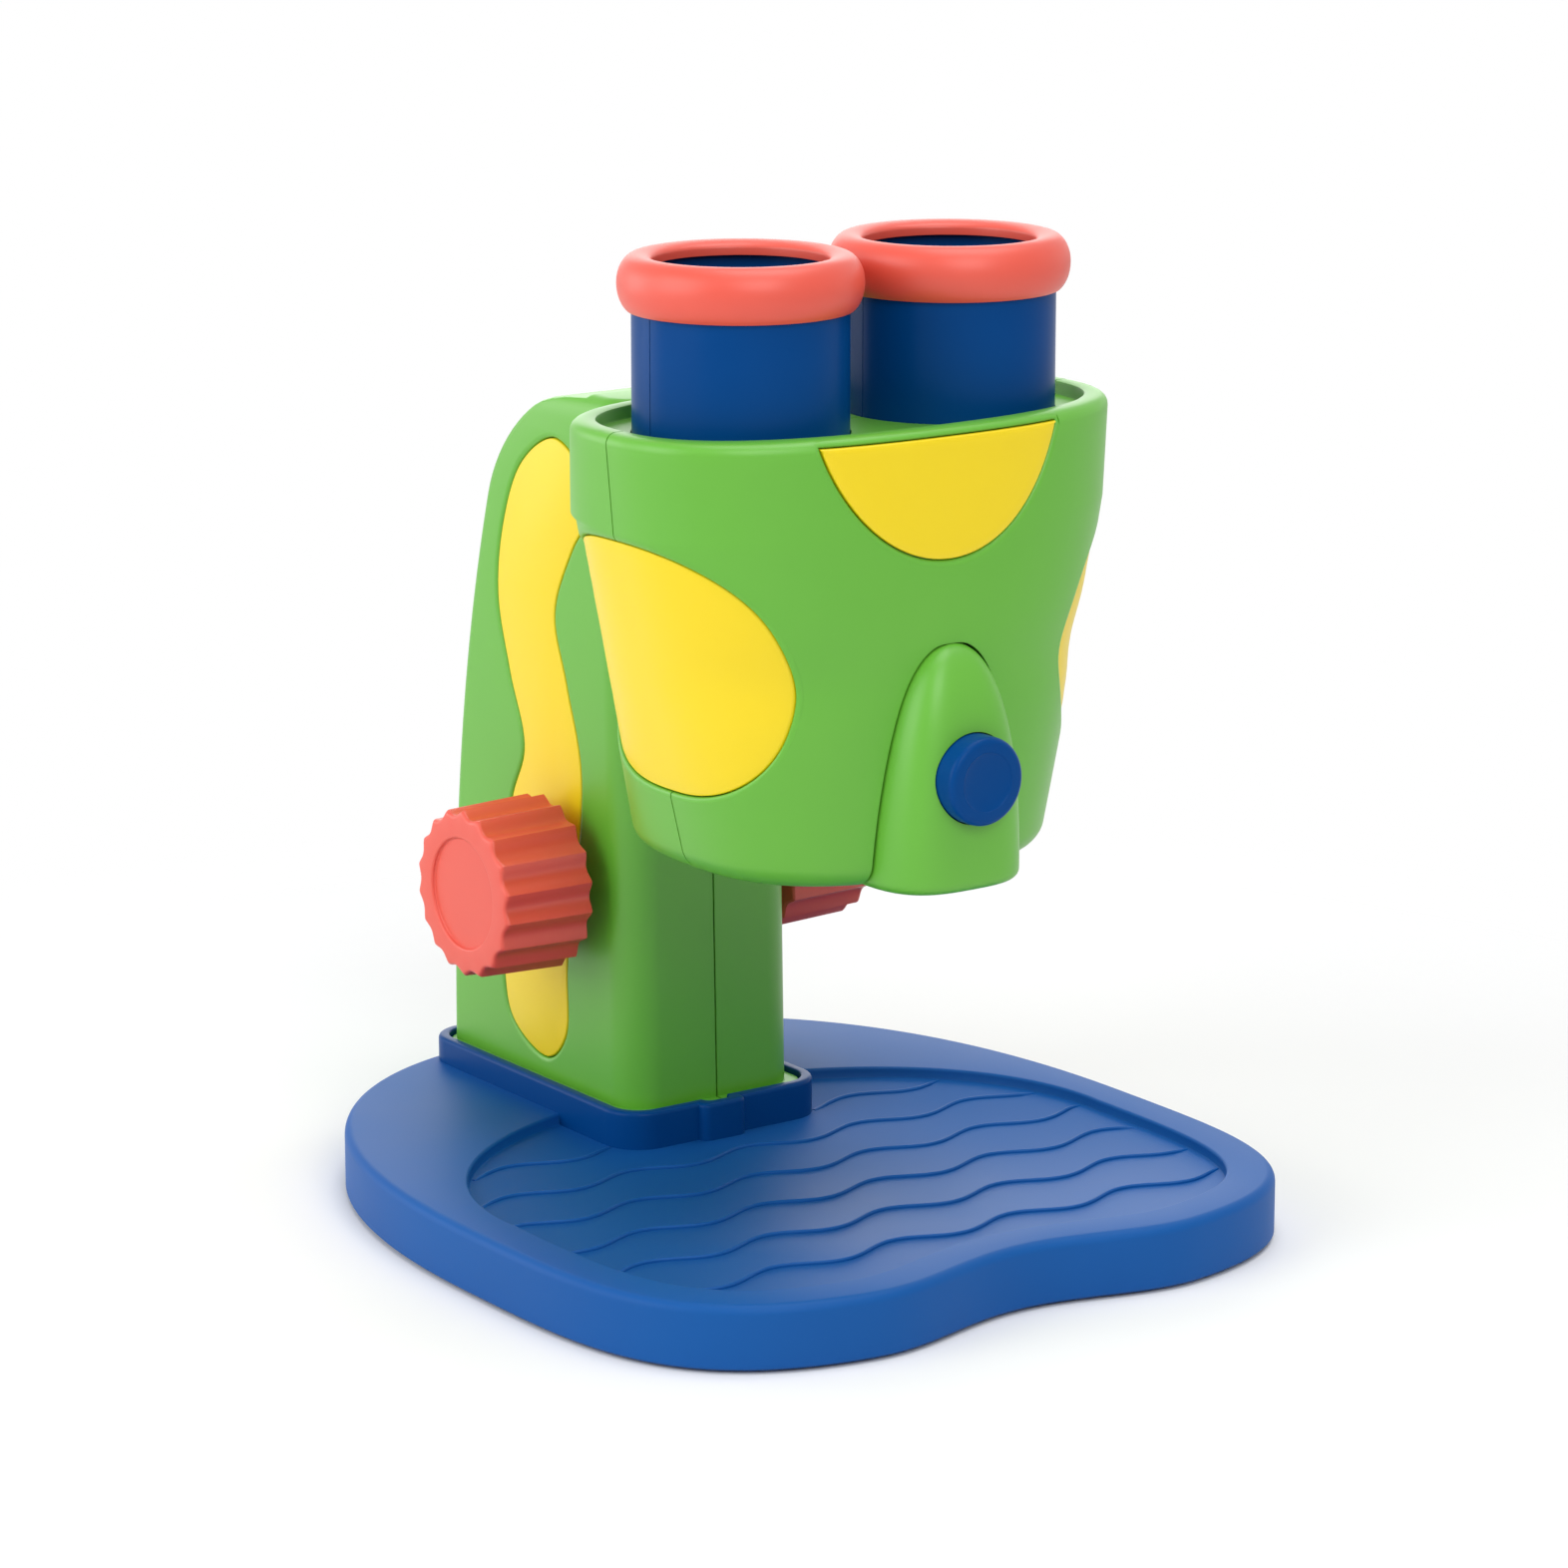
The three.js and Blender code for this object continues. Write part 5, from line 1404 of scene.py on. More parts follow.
@dataclass
class Head:
    """The green head of a front and a rear shell, with three yellow panels let into it."""

    eye_x: float = 31.5
    eye_y: float = -35.5
    top: float = 214.0
    bottom: float = 102.5
    band: float = 189.0
    top_half: float = 71.0
    band_half: float = 68.8
    low_half: float = 47.8
    depth: float = 41.5
    swell: float = 2.0
    low_rear: float = 47.0
    front_roundness: float = 2.5
    rear_roundness: float = 2.85
    band_roundness: float = 3.2
    band_edge: float = 1.5
    waist: float = 0.18
    waist_z: float = 154.0
    waist_spread: float = 9.0
    top_edge: float = 3.0
    bottom_edge: float = 6.0
    wall: float = 3.2
    rim_width: float = 6.0
    rim_height: float = 3.5
    # Drop and inset of each step of the rim's inner edge.
    rim_edge: tuple[Point, ...] = ((0.0, 0.8), (0.25, 0.25), (0.8, 0.0))
    # Rise and inset of each step where the rim meets the deck.
    deck_fillet: tuple[Point, ...] = ((0.6, 0.1), (0.15, 0.3), (0.0, 0.8))
    least_edge: float = 1.0
    tube_radius: float = 26.5
    ring_radius: float = 13.0
    panel_thickness: float = 1.5
    front_panel_half: float = 35.5
    front_panel_drop: float = 30.0
    front_panel_below: float = 1.9
    front_panel_lift: float = 20.0
    front_panel_centre: float = 0.4
    side_panel_middle: Point = (-34.0, 155.5)
    side_panel_half: Point = (36.0, 32.0)
    side_panel_roundness: float = 2.7
    side_panel_sunk: float = 0.8
    points: int = 176
    seam: float = 0.4
    housing_gap: float = 0.7
    door_margin: float = 2.0
    screw_room: float = 20.0

    def size(self, z: float) -> tuple[float, float, float, float, float]:
        """Find the head's half width, front and rear depth and front and rear roundness at a level.

        Args:
            z: The level.

        Returns:
            The five values, in that order.
        """
        share = (z - self.bottom) / (self.top - self.bottom)
        rear_roundness = self.rear_roundness
        if z > self.band:
            rise = (z - self.band) / (self.top - self.band)
            half = self.band_half + (self.top_half - self.band_half) * rise
            step = math.sin(math.pi / 2 * min(1.0, (z - self.band) / self.band_edge))
            rear_roundness += (self.band_roundness - self.rear_roundness) * step * (1 - rise)
        else:
            rise = (z - self.bottom) / (self.band - self.bottom)
            half = self.low_half + (self.band_half - self.low_half) * rise
        front = self.depth + self.swell * math.sin(math.pi * min(max(share, 0.0), 1.0))
        rear = self.low_rear + (self.depth - self.low_rear) * share
        waist = self.waist * math.exp(-(((z - self.waist_z) / self.waist_spread) ** 2))
        return half, front, rear, self.front_roundness - waist, rear_roundness

    def ring(self, z: float, inset: float) -> list[Vector]:
        """The head's section at a level, pulled in by an inset.

        Args:
            z: The level.
            inset: How far it is pulled in, negative outwards.

        Returns:
            The points of the section.
        """
        half, front, rear, front_roundness, rear_roundness = self.size(z)
        points = []
        for angle in sweep(0, math.tau, self.points)[:-1]:
            ahead = math.sin(angle) < 0
            reach, roundness = (front, front_roundness) if ahead else (rear, rear_roundness)
            x, y = oval_point(angle, half - inset, reach - inset, roundness)
            points.append(Vector((x, y + self.eye_y, z)))
        return points

    def edge_pull(self, z: float) -> float:
        """How far the round top edge pulls a level in."""
        share = min(1.0, max(0.0, z - self.top + self.top_edge) / self.top_edge)
        return self.top_edge * (1 - math.sqrt(1 - share * share))

    def front_place(self, point: Point, depth: float) -> Vector:
        """A place on the front wall, from its X and Z, at a depth.

        Args:
            point: The X and Z.
            depth: Depth below the wall, negative above it.

        Returns:
            The place.
        """
        x, z = point
        half, front, _, roundness, _ = self.size(z)
        inset = depth + (self.edge_pull(z) if z <= self.top else 0.0)
        share = min(1.0, abs(x) / (half - inset))
        return Vector((x, self.eye_y - (front - inset) * (1 - share**roundness) ** (1 / roundness), z))

    def side_place(self, side: Side, point: Point, depth: float) -> Vector:
        """A place on a side wall, from its Y and Z, at a depth.

        Args:
            side: The side.
            point: The Y and Z.
            depth: Depth below the wall, negative above it.

        Returns:
            The place.
        """
        y, z = point
        half, front, rear, front_roundness, rear_roundness = self.size(z)
        reach, roundness = (front, front_roundness) if y < self.eye_y else (rear, rear_roundness)
        share = min(1.0, abs(y - self.eye_y) / (reach - depth))
        return Vector((side.value * (half - depth) * (1 - share**roundness) ** (1 / roundness), y, z))

    def low_rings(self, inset: float) -> list[list[Vector]]:
        """The rings of the round bottom edge, from the floor up.

        Args:
            inset: How far it is pulled in, negative outwards.

        Returns:
            The rings.
        """
        edge = max(self.bottom_edge - inset, self.least_edge)
        floor = self.bottom + inset
        return [
            self.ring(floor + edge * (1 - math.cos(t)), inset + edge * (1 - math.sin(t))) for t in quarter(10)
        ]

    def flank_levels(self, low: float, high: float) -> list[float]:
        """The levels of the flank and the band between two levels."""
        edge = self.band + self.band_edge
        return [*sweep(low, self.band, 22)[1:], *sweep(self.band, edge, 6)[1:-1], *sweep(edge, high, 6)]

    def outside(self) -> bmesh.types.BMesh:
        """Model the closed outer form with its rim and deck.

        Returns:
            The form's mesh.
        """
        deck = self.top - self.rim_height
        edge, inner = self.top_edge, self.rim_width
        rings = self.low_rings(0)
        rings += [self.ring(z, 0) for z in self.flank_levels(self.bottom + self.bottom_edge, self.top - edge)]
        turns = quarter(5)[1:]
        rings += [self.ring(self.top - edge * (1 - math.sin(t)), edge * (1 - math.cos(t))) for t in turns]
        rings += [self.ring(self.top - drop, inner - inset) for drop, inset in self.rim_edge]
        rings += [self.ring(deck + rise, inner + inset) for rise, inset in self.deck_fillet]
        return lofted(rings)

    def hollow(self) -> bmesh.types.BMesh:
        """Model the room inside the shells.

        Returns:
            The room's mesh.
        """
        under = self.top - self.rim_height - self.wall
        rings = self.low_rings(self.wall)
        start = self.bottom + self.bottom_edge
        rings += [self.ring(z, self.wall) for z in sweep(start, under, 16)[1:]]
        return lofted(rings)

    def front_inset(self) -> Inset:
        """The half-round panel under the top edge of the front: an oval whose middle lies above that edge.

        Returns:
            The panel as an inset.
        """
        half, drop, top = self.front_panel_half, self.front_panel_drop, self.top - self.front_panel_below
        tall = drop + self.front_panel_lift
        start = math.asin(self.front_panel_lift / tall)
        turns = sweep(math.pi + start, math.tau - start, 200)
        lower = [oval_point(t, half / math.cos(start), tall, 2) for t in turns]
        bow = spaced([(x, top + self.front_panel_lift + z) for x, z in lower], count=100)
        outline = [*bow, *spaced([(half, top), (-half, top)], count=44)]
        centre = (0.0, top - drop * self.front_panel_centre)
        return Inset(outline, self.front_place, sunk=0.0, thickness=self.panel_thickness, centre=centre)

    def side_inset(self, side: Side) -> Inset:
        """The panel in one side.

        Args:
            side: The side.

        Returns:
            The panel as an inset.
        """
        (y, z), (depth, height) = self.side_panel_middle, self.side_panel_half
        turns = sweep(0, math.tau, 600)
        oval = [oval_point(t, depth, height, self.side_panel_roundness) for t in turns]
        outline = spaced([(y + a, z + b) for a, b in oval], count=140)

        def place(point: Point, below: float) -> Vector:
            """A place on this side's wall."""
            return self.side_place(side, point, below)

        return Inset(outline, place, self.side_panel_sunk, self.panel_thickness, centre=(y, z))

    def build(self, maker: Maker) -> None:
        """Model and dress the shells and their panels.

        Args:
            maker: Finishes the pieces.
        """
        head = raw_object("head", self.outside())
        carve(head, self.hollow())
        front = self.front_inset()
        sides = {side: self.side_inset(side) for side in Side}
        for inset in (front, *sides.values()):
            carve(head, inset.pocket())
        openings = bmesh.new()
        deck_under = self.top - self.rim_height - self.wall
        for side in Side:
            x = side.value * self.eye_x
            rod(openings, self.tube_radius + GAP, Vector((x, self.eye_y, deck_under - PAST)),
                Vector((x, self.eye_y, self.top + PAST)), sides=96)
        for i in range(1, 5):
            low, high = box_mm(f"head_screw_{i}")
            seat = Vector(((low.x + high.x) / 2, high.y - Screws.height - GAP, (low.z + high.z) / 2))
            rod(openings, Screws.head + GAP, seat, seat + Vector((0, self.screw_room, 0)), sides=32)
        rod(openings, self.ring_radius + GAP, Vector((0, self.eye_y, self.bottom - PAST)),
            Vector((0, self.eye_y, self.bottom + self.wall + PAST)), sides=96)
        carve(head, openings)
        carve(head, LightHousing().form(-self.housing_gap))
        low, high = box_mm("battery_door")
        door = bmesh.new()
        margin = Vector((GAP, GAP, self.door_margin))
        brick(door, low - margin, high + margin)
        carve(head, door)

        for end in End:
            shell = duplicate(head, f"head_half_{end.word}")
            seam = self.eye_y + end.value * self.seam / 2
            keep_beyond(shell, (0, seam, 0), (0, end.value, 0))
            for inset in sides.values():
                hoop = inset.bead()
                trim(hoop, (0, seam, 0), (0, -end.value, 0))
                add_to(shell, hoop)
            if end is End.FRONT:
                add_to(shell, front.bead())
            maker.finish(shell, Body.HEAD, "shell_green", f"head_{end.word}_shell")
        discard(head)

        panel = raw_object("half_round_panel", front.panel())
        maker.finish(panel, Body.HEAD, "panel_yellow", "head_front_panel")
        for side, inset in sides.items():
            panel = raw_object(f"side_panel_{side.word}", inset.panel())
            maker.finish(panel, Body.HEAD, "panel_yellow", f"head_side_panel_{side.word}")


@dataclass
class Eyepieces:
    """The two eyepiece tubes in halves, with their lenses and fat rims."""

    radius: float = 26.5
    wall: float = 2.2
    low: float = 195.0
    high: float = 250.2
    flange: float = 2.0
    flange_top: float = 207.0
    lens_seat: float = 2.0
    lens_edge: float = 1.6
    lens_thickness: float = 5.0
    # Shares of the flat radius and of the bulge along the lens's lower face.
    lens_under: tuple[Point, ...] = ((0.0, 0.6), (0.6, 0.4), (1.0, 0.0))
    tube_edge: float = 0.5
    rim_top: float = 254.0
    rim_radius: float = 30.0
    rim_hole: float = 21.4
    rim_crest: float = 25.3
    rim_widest: float = 7.0
    rim_under: float = 7.5
    rim_lip: float = 1.9
    rim_skirt: float = 13.5

    def rim_profile(self) -> list[Point]:
        """The fat ring that caps a tube and draws in again round the outside of the tube.

        Returns:
            The points of the profile, as radius and level.
        """
        inner, under = self.radius + GAP, self.high + GAP
        widest, fat = self.rim_top - self.rim_widest, self.rim_radius - self.rim_crest
        foot = math.asin((self.rim_skirt - self.rim_widest) / self.rim_under)
        crest, top = self.rim_crest, self.rim_top
        turns = sweep(-foot, 0, 10)[:-1]
        outer = [(crest + fat * math.cos(t), widest + self.rim_under * math.sin(t)) for t in turns]
        outer += [(crest + fat * math.cos(t), widest + self.rim_widest * math.sin(t)) for t in quarter(14)]
        lip = crest - self.rim_hole
        turns = sweep(math.pi / 2, math.pi, 12)[1:]
        hole = [(crest + lip * math.cos(t), top - self.rim_lip * (1 - math.sin(t))) for t in turns]
        return [(inner, top - self.rim_skirt), *outer, *hole, (self.rim_hole, under), (inner, under)]

    def build(self, maker: Maker) -> None:
        """Model and dress both eyepieces.

        Args:
            maker: Finishes the pieces.
        """
        head = Head()
        bore = self.radius - self.wall
        seat = self.low + self.lens_seat
        ledge, outer = bore - self.lens_seat, self.radius + self.flange
        under, over = self.flange_top - self.flange, self.flange_top
        tube = softened(
            [(ledge, self.low), (self.radius, self.low), (self.radius, under), (outer, under), (outer, over),
             (self.radius, over), (self.radius, self.high, self.tube_edge), (bore, self.high, self.tube_edge),
             (bore, seat), (ledge, seat)]
        )
        rim = bore - GAP
        lens_low = seat + GAP
        bulge = (self.lens_thickness - self.lens_edge) / 2
        dome = [(rim * math.cos(t), lens_low + self.lens_edge + bulge * math.sin(t)) for t in quarter(14)]
        flat = rim - 2 * self.lens_seat
        lens = [(flat * share, lens_low - bulge * drop) for share, drop in self.lens_under]
        lens += [(rim, lens_low), *dome[:-1], (0, dome[-1][1])]
        for side in Side:
            place = (side.value * head.eye_x, head.eye_y, 0)
            whole = self.at(place, tube, f"tube_{side.word}")
            for end in End:
                half = duplicate(whole, f"eye_tube_{side.word}_{end.word}")
                keep_beyond(half, (0, head.eye_y + end.value * GAP / 2, 0), (0, end.value, 0))
                maker.finish(half, Body.HEAD, "tube_blue", f"eyepiece_tube_{side.word}_{end.word}")
            discard(whole)
            glass = self.at(place, lens, f"eye_lens_{side.word}")
            maker.finish(glass, Body.HEAD, "lens", f"eyepiece_lens_{side.word}")
            ring = self.at(place, self.rim_profile(), f"eye_rim_{side.word}")
            maker.finish(ring, Body.HEAD, "coral", f"eyepiece_rim_{side.word}")

    @staticmethod
    def at(place: Sequence[float], profile: Sequence[Point], name: str) -> bpy.types.Object:
        """Turn a profile and set it at a place.

        Args:
            place: The place of its axis.
            profile: The profile.
            name: The object's name.

        Returns:
            The new object.
        """
        shape = turned(profile, steps=128)
        bmesh.ops.translate(shape, vec=place, verts=shape.verts)
        return raw_object(name, shape)


@dataclass
class LightHousing:
    """The tongue at the front of the head, and its push button."""

    half_width: float = 20.4
    top: float = 161.6
    bluntness: float = 0.38
    bottom: float = 102.0
    front: float = -89.8
    rise_power: float = 3.0
    dome: float = 0.5
    tip_proud: float = -0.8
    back: float = -68.0
    edge: float = 2.5
    foot_roundness: float = 3.1
    tip_roundness: float = 3.6
    wall: float = 2.6
    button_z: float = 130.0
    button_radius: float = 11.0
    button_face: float = 94.0
    button_edge: float = 1.6
    button_dish: float = 0.8
    button_dish_radius: float = 7.4
    button_back: float = 76.8
    button_wall: float = 1.8
    button_flange: float = 1.0
    button_flange_depth: float = 1.5
    button_flange_edge: float = 0.2
    # How far the button's hole is cut ahead of its face and beyond the housing's back.
    button_room: Point = (5.0, 2.0)
    stem_radius: float = 2.5
    stem_end: float = 80.1
    stem_edge: float = 0.3
    led_y: float = -78.0
    led_hole: float = 2.8
    # How far the lamp's hole is cut below and above the housing's floor.
    led_room: Point = (2.0, 4.0)

    def rise(self, z: float) -> float:
        """The share of the housing's height that a level has reached."""
        return min(1.0, max(0.0, (z - self.bottom) / (self.top - self.bottom)))

    def half_at(self, z: float, inset: float) -> float:
        """Half the housing's width at a level: a tall blunt arch."""
        return max((self.half_width - inset) * (1 - self.rise(z) ** 2) ** self.bluntness, self.edge / 2)

    def front_at(self, z: float) -> float:
        """How far forward the housing stands at a level.

        Args:
            z: The level.

        Returns:
            The Y of the front.
        """
        head = Head()
        tip = head.eye_y - head.size(self.top)[1] - self.tip_proud
        return tip + (self.front - tip) * (1 - self.rise(z) ** self.rise_power) ** self.dome

    def form(self, inset: float) -> bmesh.types.BMesh:
        """Model the housing's closed form, pulled in by an inset.

        Args:
            inset: How far it is pulled in, negative outwards.

        Returns:
            The form's mesh.
        """
        low, high = self.bottom + inset, self.top - inset
        turns = quarter(6)
        levels = [(low + self.edge * (1 - math.cos(t)), self.edge * (1 - math.sin(t))) for t in turns]
        start = low + self.edge
        levels += [(start + (high - start) * math.sin(t), 0.0) for t in quarter(44)[1:]]
        back = self.back + (PAST if inset > 0 else -inset)
        rings = []
        for z, pull in levels:
            half = self.half_at(z + inset, inset) - pull
            depth = back - self.front_at(z) - inset - pull
            roundness = self.foot_roundness + (self.tip_roundness - self.foot_roundness) * self.rise(z)
            bow = [oval_point(t, half, depth, roundness) for t in sweep(math.pi, math.tau, 56)]
            rings.append([Vector((x, back + y, z)) for x, y in bow])
        return lofted(rings)

    def build(self, maker: Maker) -> None:
        """Model and dress the housing and its button.

        Args:
            maker: Finishes the pieces.
        """
        housing = raw_object("light_tongue", self.form(0))
        carve(housing, self.form(self.wall))
        holes = bmesh.new()
        ahead, behind = self.button_room
        rod(holes, self.button_radius + GAP, Vector((0, -self.button_face - ahead, self.button_z)),
            Vector((0, self.back - behind, self.button_z)), sides=96)
        below, above = self.led_room
        rod(holes, self.led_hole, Vector((0, self.led_y, self.bottom - below)),
            Vector((0, self.led_y, self.bottom + above)), sides=32)
        carve(housing, holes)
        maker.finish(housing, Body.HEAD, "shell_green", "light_housing")

        radius, face, back = self.button_radius, self.button_face, self.button_back
        inner, flange = radius - self.button_wall, radius + self.button_flange
        floor = face - 2 * self.button_wall
        turns = quarter(10)[:0:-1]
        dish = [(self.button_dish_radius * math.sin(t), face - self.button_dish * math.cos(t)) for t in turns]
        step, edge = back + self.button_flange_depth, self.button_flange_edge
        profile = softened(
            [(0, self.stem_end), (self.stem_radius, self.stem_end, self.stem_edge), (self.stem_radius, floor),
             (inner, floor), (inner, back), (flange, back, edge), (flange, step, edge), (radius, step),
             (radius, face, self.button_edge), *dish, (0, face - self.button_dish)]
        )
        shape = turned(profile, steps=96)
        bmesh.ops.rotate(shape, matrix=Matrix.Rotation(math.pi / 2, 3, "X"), verts=shape.verts)
        bmesh.ops.translate(shape, vec=(0, 0, self.button_z), verts=shape.verts)
        maker.finish(raw_object("push_button", shape), Body.BUTTON, "tube_blue", "light_button")


@dataclass
class Objective:
    """The objective's ring and lens under the head."""

    radius: float = 10.0
    ring_wall: float = 3.0
    low: float = 101.0
    shoulder: float = 106.0
    top: float = 109.0
    flange: float = 2.0
    lip: float = 1.0
    lip_edge: float = 0.4
    outer_edge: float = 0.6
    lens_low: float = 102.8
    lens_edge: float = 1.6
    lens_bulge: float = 1.45

    def build(self, maker: Maker) -> None:
        """Model and dress the ring and the lens.

        Args:
            maker: Finishes the pieces.
        """
        head = Head()
        hole, outer, pocket = self.radius - self.lip, self.radius + self.ring_wall, self.radius + GAP
        ring = softened(
            [(hole, self.low, self.lip_edge), (outer, self.low, self.outer_edge), (outer, self.shoulder),
             (outer + self.flange, self.shoulder), (outer + self.flange, self.top), (pocket, self.top),
             (pocket, head.bottom), (hole, head.bottom)]
        )
        place = (0, head.eye_y, 0)
        piece = Eyepieces.at(place, ring, "lens_ring")
        maker.finish(piece, Body.HEAD, "tube_blue", "objective_ring")
        rise = self.lens_low + self.lens_edge
        turns = quarter(12)[:-1]
        over = [(self.radius * math.cos(t), rise + self.lens_bulge * math.sin(t)) for t in turns]
        lens = [(0, self.lens_low), (self.radius, self.lens_low), *over, (0, rise + self.lens_bulge)]
        maker.finish(Eyepieces.at(place, lens, "lower_lens"), Body.HEAD, "lens", "objective_lens")


@dataclass
class Screws:
    """The cross-headed screws that hold the shells, base, carriage and battery door."""

    shank: float = 1.5
    head: float = 3.0
    height: float = 2.0
    cross: float = 1.7
    cross_wide: float = 0.7
    cross_deep: float = 1.1
    tip: float = 0.3
    taper: float = 3.0
    under_edge: float = 0.15
    side_share: float = 0.45
    side_edge: float = 0.7
    crown_share: float = 0.5
    crown_edge: float = 0.8

    def build(self, maker: Maker) -> None:
        """Model and dress every screw, head outwards along its own axis.

        Args:
            maker: Finishes the pieces.
        """
        groups = [
            ("column_screw", 4, Body.STAND, "X", 1), ("base_screw", 4, Body.STAND, "Z", -1),
            ("head_screw", 4, Body.HEAD, "Y", 1), ("carriage_screw", 2, Body.HEAD, "Y", -1),
        ]
        for stem, count, body, axis, outward in groups:
            for i in range(count):
                node = f"{stem}_{i + 1}"
                shift = Column().screw_shift(node) if stem == "column_screw" else Vector()
                self.make(maker, node, body, axis, outward, shift)
        self.make(maker, "battery_door_screw", Body.HEAD, "Z", -1, Vector())

    def make(self, maker: Maker, node: str, body: Body, axis: str, outward: int, shift: Vector) -> None:
        """Model one screw in the box of its CAD part.

        Args:
            maker: Finishes the piece.
            node: The CAD part's name.
            body: The body that it rides on.
            axis: The axis that it lies along.
            outward: Which way along the axis its head faces.
            shift: How far it is moved out of that box.
        """
        low, high = (corner + shift for corner in box_mm(node))
        at = "XYZ".index(axis)
        length = high[at] - low[at]
        profile = softened(
            [(0, -length), (self.tip, -length), (self.shank, -length + self.taper),
             (self.shank, -self.height), (self.head, -self.height, self.under_edge),
             (self.head, -self.height * self.side_share, self.side_edge),
             (self.head * self.crown_share, 0, self.crown_edge), (0, 0)]
        )
        screw = raw_object(f"cross_{node}", turned(profile, steps=32))
        wide, reach = self.cross_wide / 2, self.cross
        for x, y in ((reach, wide), (wide, reach)):
            slot = bmesh.new()
            brick(slot, (-x, -y, -self.cross_deep), (x, y, PAST))
            carve(screw, slot)
        middle = (low + high) / 2
        middle[at] = high[at] if outward > 0 else low[at]
        facing = Vector([outward if k == at else 0 for k in range(3)])
        turn = facing.to_track_quat("Z", "Y").to_matrix().to_4x4()
        screw.data.transform(Matrix.Translation(middle) @ turn)
        maker.finish(screw, body, "steel", node)


@dataclass(frozen=True)
class Softbox:
    """A soft square lamp: where it stands, how wide it is and how strong."""

    name: str
    place: tuple[float, float, float]
    size: float
    power: float


SOFTBOXES = (
    Softbox("left_softbox", (-1.75, 0.2, 0.9), 1.4, 17),
    Softbox("top_softbox", (0.3, -0.2, 2.0), 1.4, 20),
    Softbox("front_softbox", (-0.5, -1.75, 1.4), 1.2, 16.5),
    Softbox("back_softbox", (1.0, 1.5, 0.75), 1.3, 8),
    Softbox("rear_left_softbox", (-1.15, 1.6, 0.45), 1.0, 8),
)


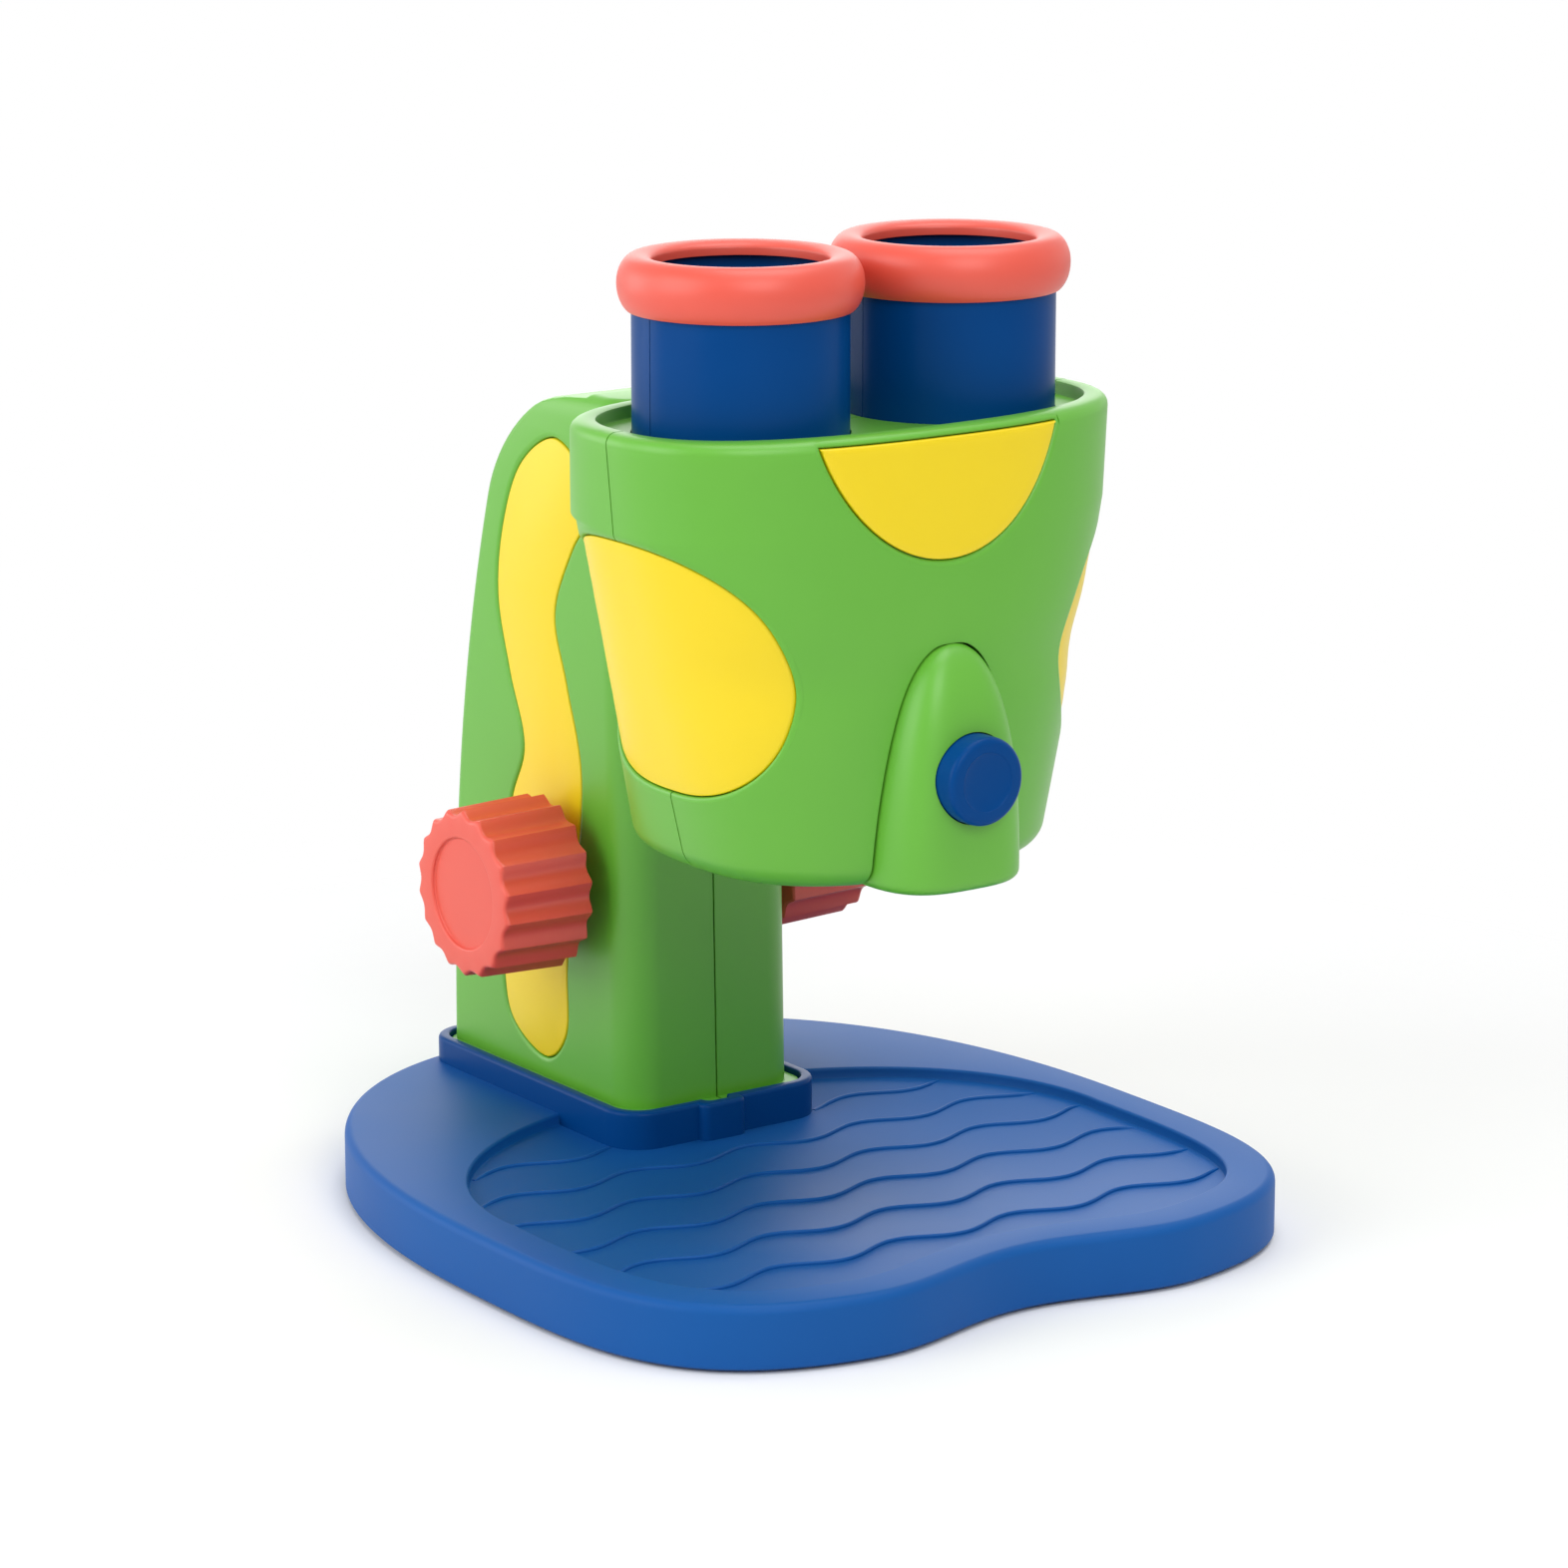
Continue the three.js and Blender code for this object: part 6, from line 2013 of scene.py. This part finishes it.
@dataclass
class Studio:
    """A plain pale floor, soft studio light and the camera."""

    eye: tuple[float, float, float] = (-0.7711, -1.0943, 0.4340)
    gaze: tuple[float, float, float] = (0.5631, 0.7924, -0.2344)
    lens: float = 123.9
    sensor: float = 36.0
    aim: tuple[float, float, float] = (0.0, 0.0, 0.11)
    room_light: float = 0.36
    floor_size: float = 3.0
    # Distances in metres between which the floor fades out.
    floor_fade: Point = (0.22, 0.42)
    fibre_mm: float = 3.0
    fibre_detail: float = 4.0
    fibre_strength: float = 0.05
    fibre_depth_mm: float = 0.1

    def build(self) -> None:
        """Set up the floor, lights, world and camera."""
        self.add_floor()
        for softbox in SOFTBOXES:
            self.add_lamp(softbox)
        self.add_world()
        data = bpy.data.cameras.new("camera")
        data.lens, data.sensor_width = self.lens, self.sensor
        camera = linked("camera", data)
        camera.location = self.eye
        camera.rotation_euler = Vector(self.gaze).to_track_quat("-Z", "Y").to_euler()
        bpy.context.scene.camera = camera
        bpy.context.scene.view_settings.view_transform = "Standard"

    def add_lamp(self, softbox: Softbox) -> None:
        """Add a soft square lamp that faces the microscope.

        Args:
            softbox: The lamp.
        """
        data = bpy.data.lights.new(softbox.name, "AREA")
        data.size, data.energy = softbox.size, softbox.power
        lamp = linked(softbox.name, data)
        lamp.location = softbox.place
        lamp.rotation_euler = (Vector(self.aim) - Vector(softbox.place)).to_track_quat("-Z", "Y").to_euler()

    def add_world(self) -> None:
        """Light the room evenly, and show it white to the camera and in gloss and glass."""
        world = bpy.data.worlds.new("studio")
        bpy.context.scene.world = world
        world.use_nodes = True
        tree = world.node_tree
        tree.nodes.clear()
        path = add_node(tree, "ShaderNodeLightPath")
        through = add_node(tree, "ShaderNodeMath",
                           {0: path.outputs["Is Camera Ray"], 1: path.outputs["Is Transmission Ray"]},
                           operation="MAXIMUM")
        seen = add_node(tree, "ShaderNodeMath", {0: through.outputs[0], 1: path.outputs["Is Glossy Ray"]},
                        operation="MAXIMUM")
        room = add_node(tree, "ShaderNodeBackground",
                        {"Color": linear("F4F6F8"), "Strength": self.room_light})
        white = add_node(tree, "ShaderNodeBackground", {"Color": (1, 1, 1, 1), "Strength": 1.0})
        mix = add_node(tree, "ShaderNodeMixShader",
                       {0: seen.outputs[0], 1: room.outputs[0], 2: white.outputs[0]})
        add_node(tree, "ShaderNodeOutputWorld", {"Surface": mix.outputs[0]})

    def add_floor(self) -> None:
        """Lay a pale floor that keeps the shadow and fades into the white round it."""
        shape = bmesh.new()
        bmesh.ops.create_grid(shape, x_segments=8, y_segments=8, size=self.floor_size)
        mesh = bpy.data.meshes.new("floor")
        shape.to_mesh(mesh)
        shape.free()
        floor = linked("floor", mesh)
        material, tree, where = blank_material("matt_paper_white")
        fibre = add_node(tree, "ShaderNodeTexNoise", {
            "Vector": where, "Scale": per_metre(self.fibre_mm), "Detail": self.fibre_detail,
        })
        bump = add_node(tree, "ShaderNodeBump", {
            "Height": fibre.outputs["Fac"],
            "Strength": self.fibre_strength,
            "Distance": self.fibre_depth_mm * MM,
        })
        paper = add_node(tree, "ShaderNodeBsdfDiffuse", {
            "Color": linear("F4F4F4"), "Normal": bump.outputs["Normal"],
        })
        distance = add_node(tree, "ShaderNodeVectorMath", {0: where}, operation="LENGTH")
        near, far = self.floor_fade
        fade = add_node(tree, "ShaderNodeMapRange",
                        {"Value": distance.outputs["Value"], "From Min": near, "From Max": far},
                        interpolation_type="SMOOTHSTEP")
        path = add_node(tree, "ShaderNodeLightPath")
        away = add_node(tree, "ShaderNodeMath", {0: fade.outputs["Result"], 1: path.outputs["Is Camera Ray"]},
                        operation="MULTIPLY")
        clear = add_node(tree, "ShaderNodeBsdfTransparent")
        mix = add_node(tree, "ShaderNodeMixShader",
                       {0: away.outputs[0], 1: paper.outputs[0], 2: clear.outputs[0]})
        add_node(tree, "ShaderNodeOutputMaterial", {"Surface": mix.outputs[0]})
        floor.data.materials.append(material)


def main() -> None:
    """Build every sub-assembly in order, then the studio."""
    logging.basicConfig(level=logging.INFO, format="%(name)s: %(message)s")
    palette = Palette()
    maker = Maker(palette)
    for assembly in (Base, Feet, Column, Knobs, Head, Eyepieces, LightHousing, Objective, Screws):
        log.info("building %s", assembly.__name__)
        assembly().build(maker)
    palette.dress_nodes()
    Studio().build()


if __name__ == "__main__":
    main()
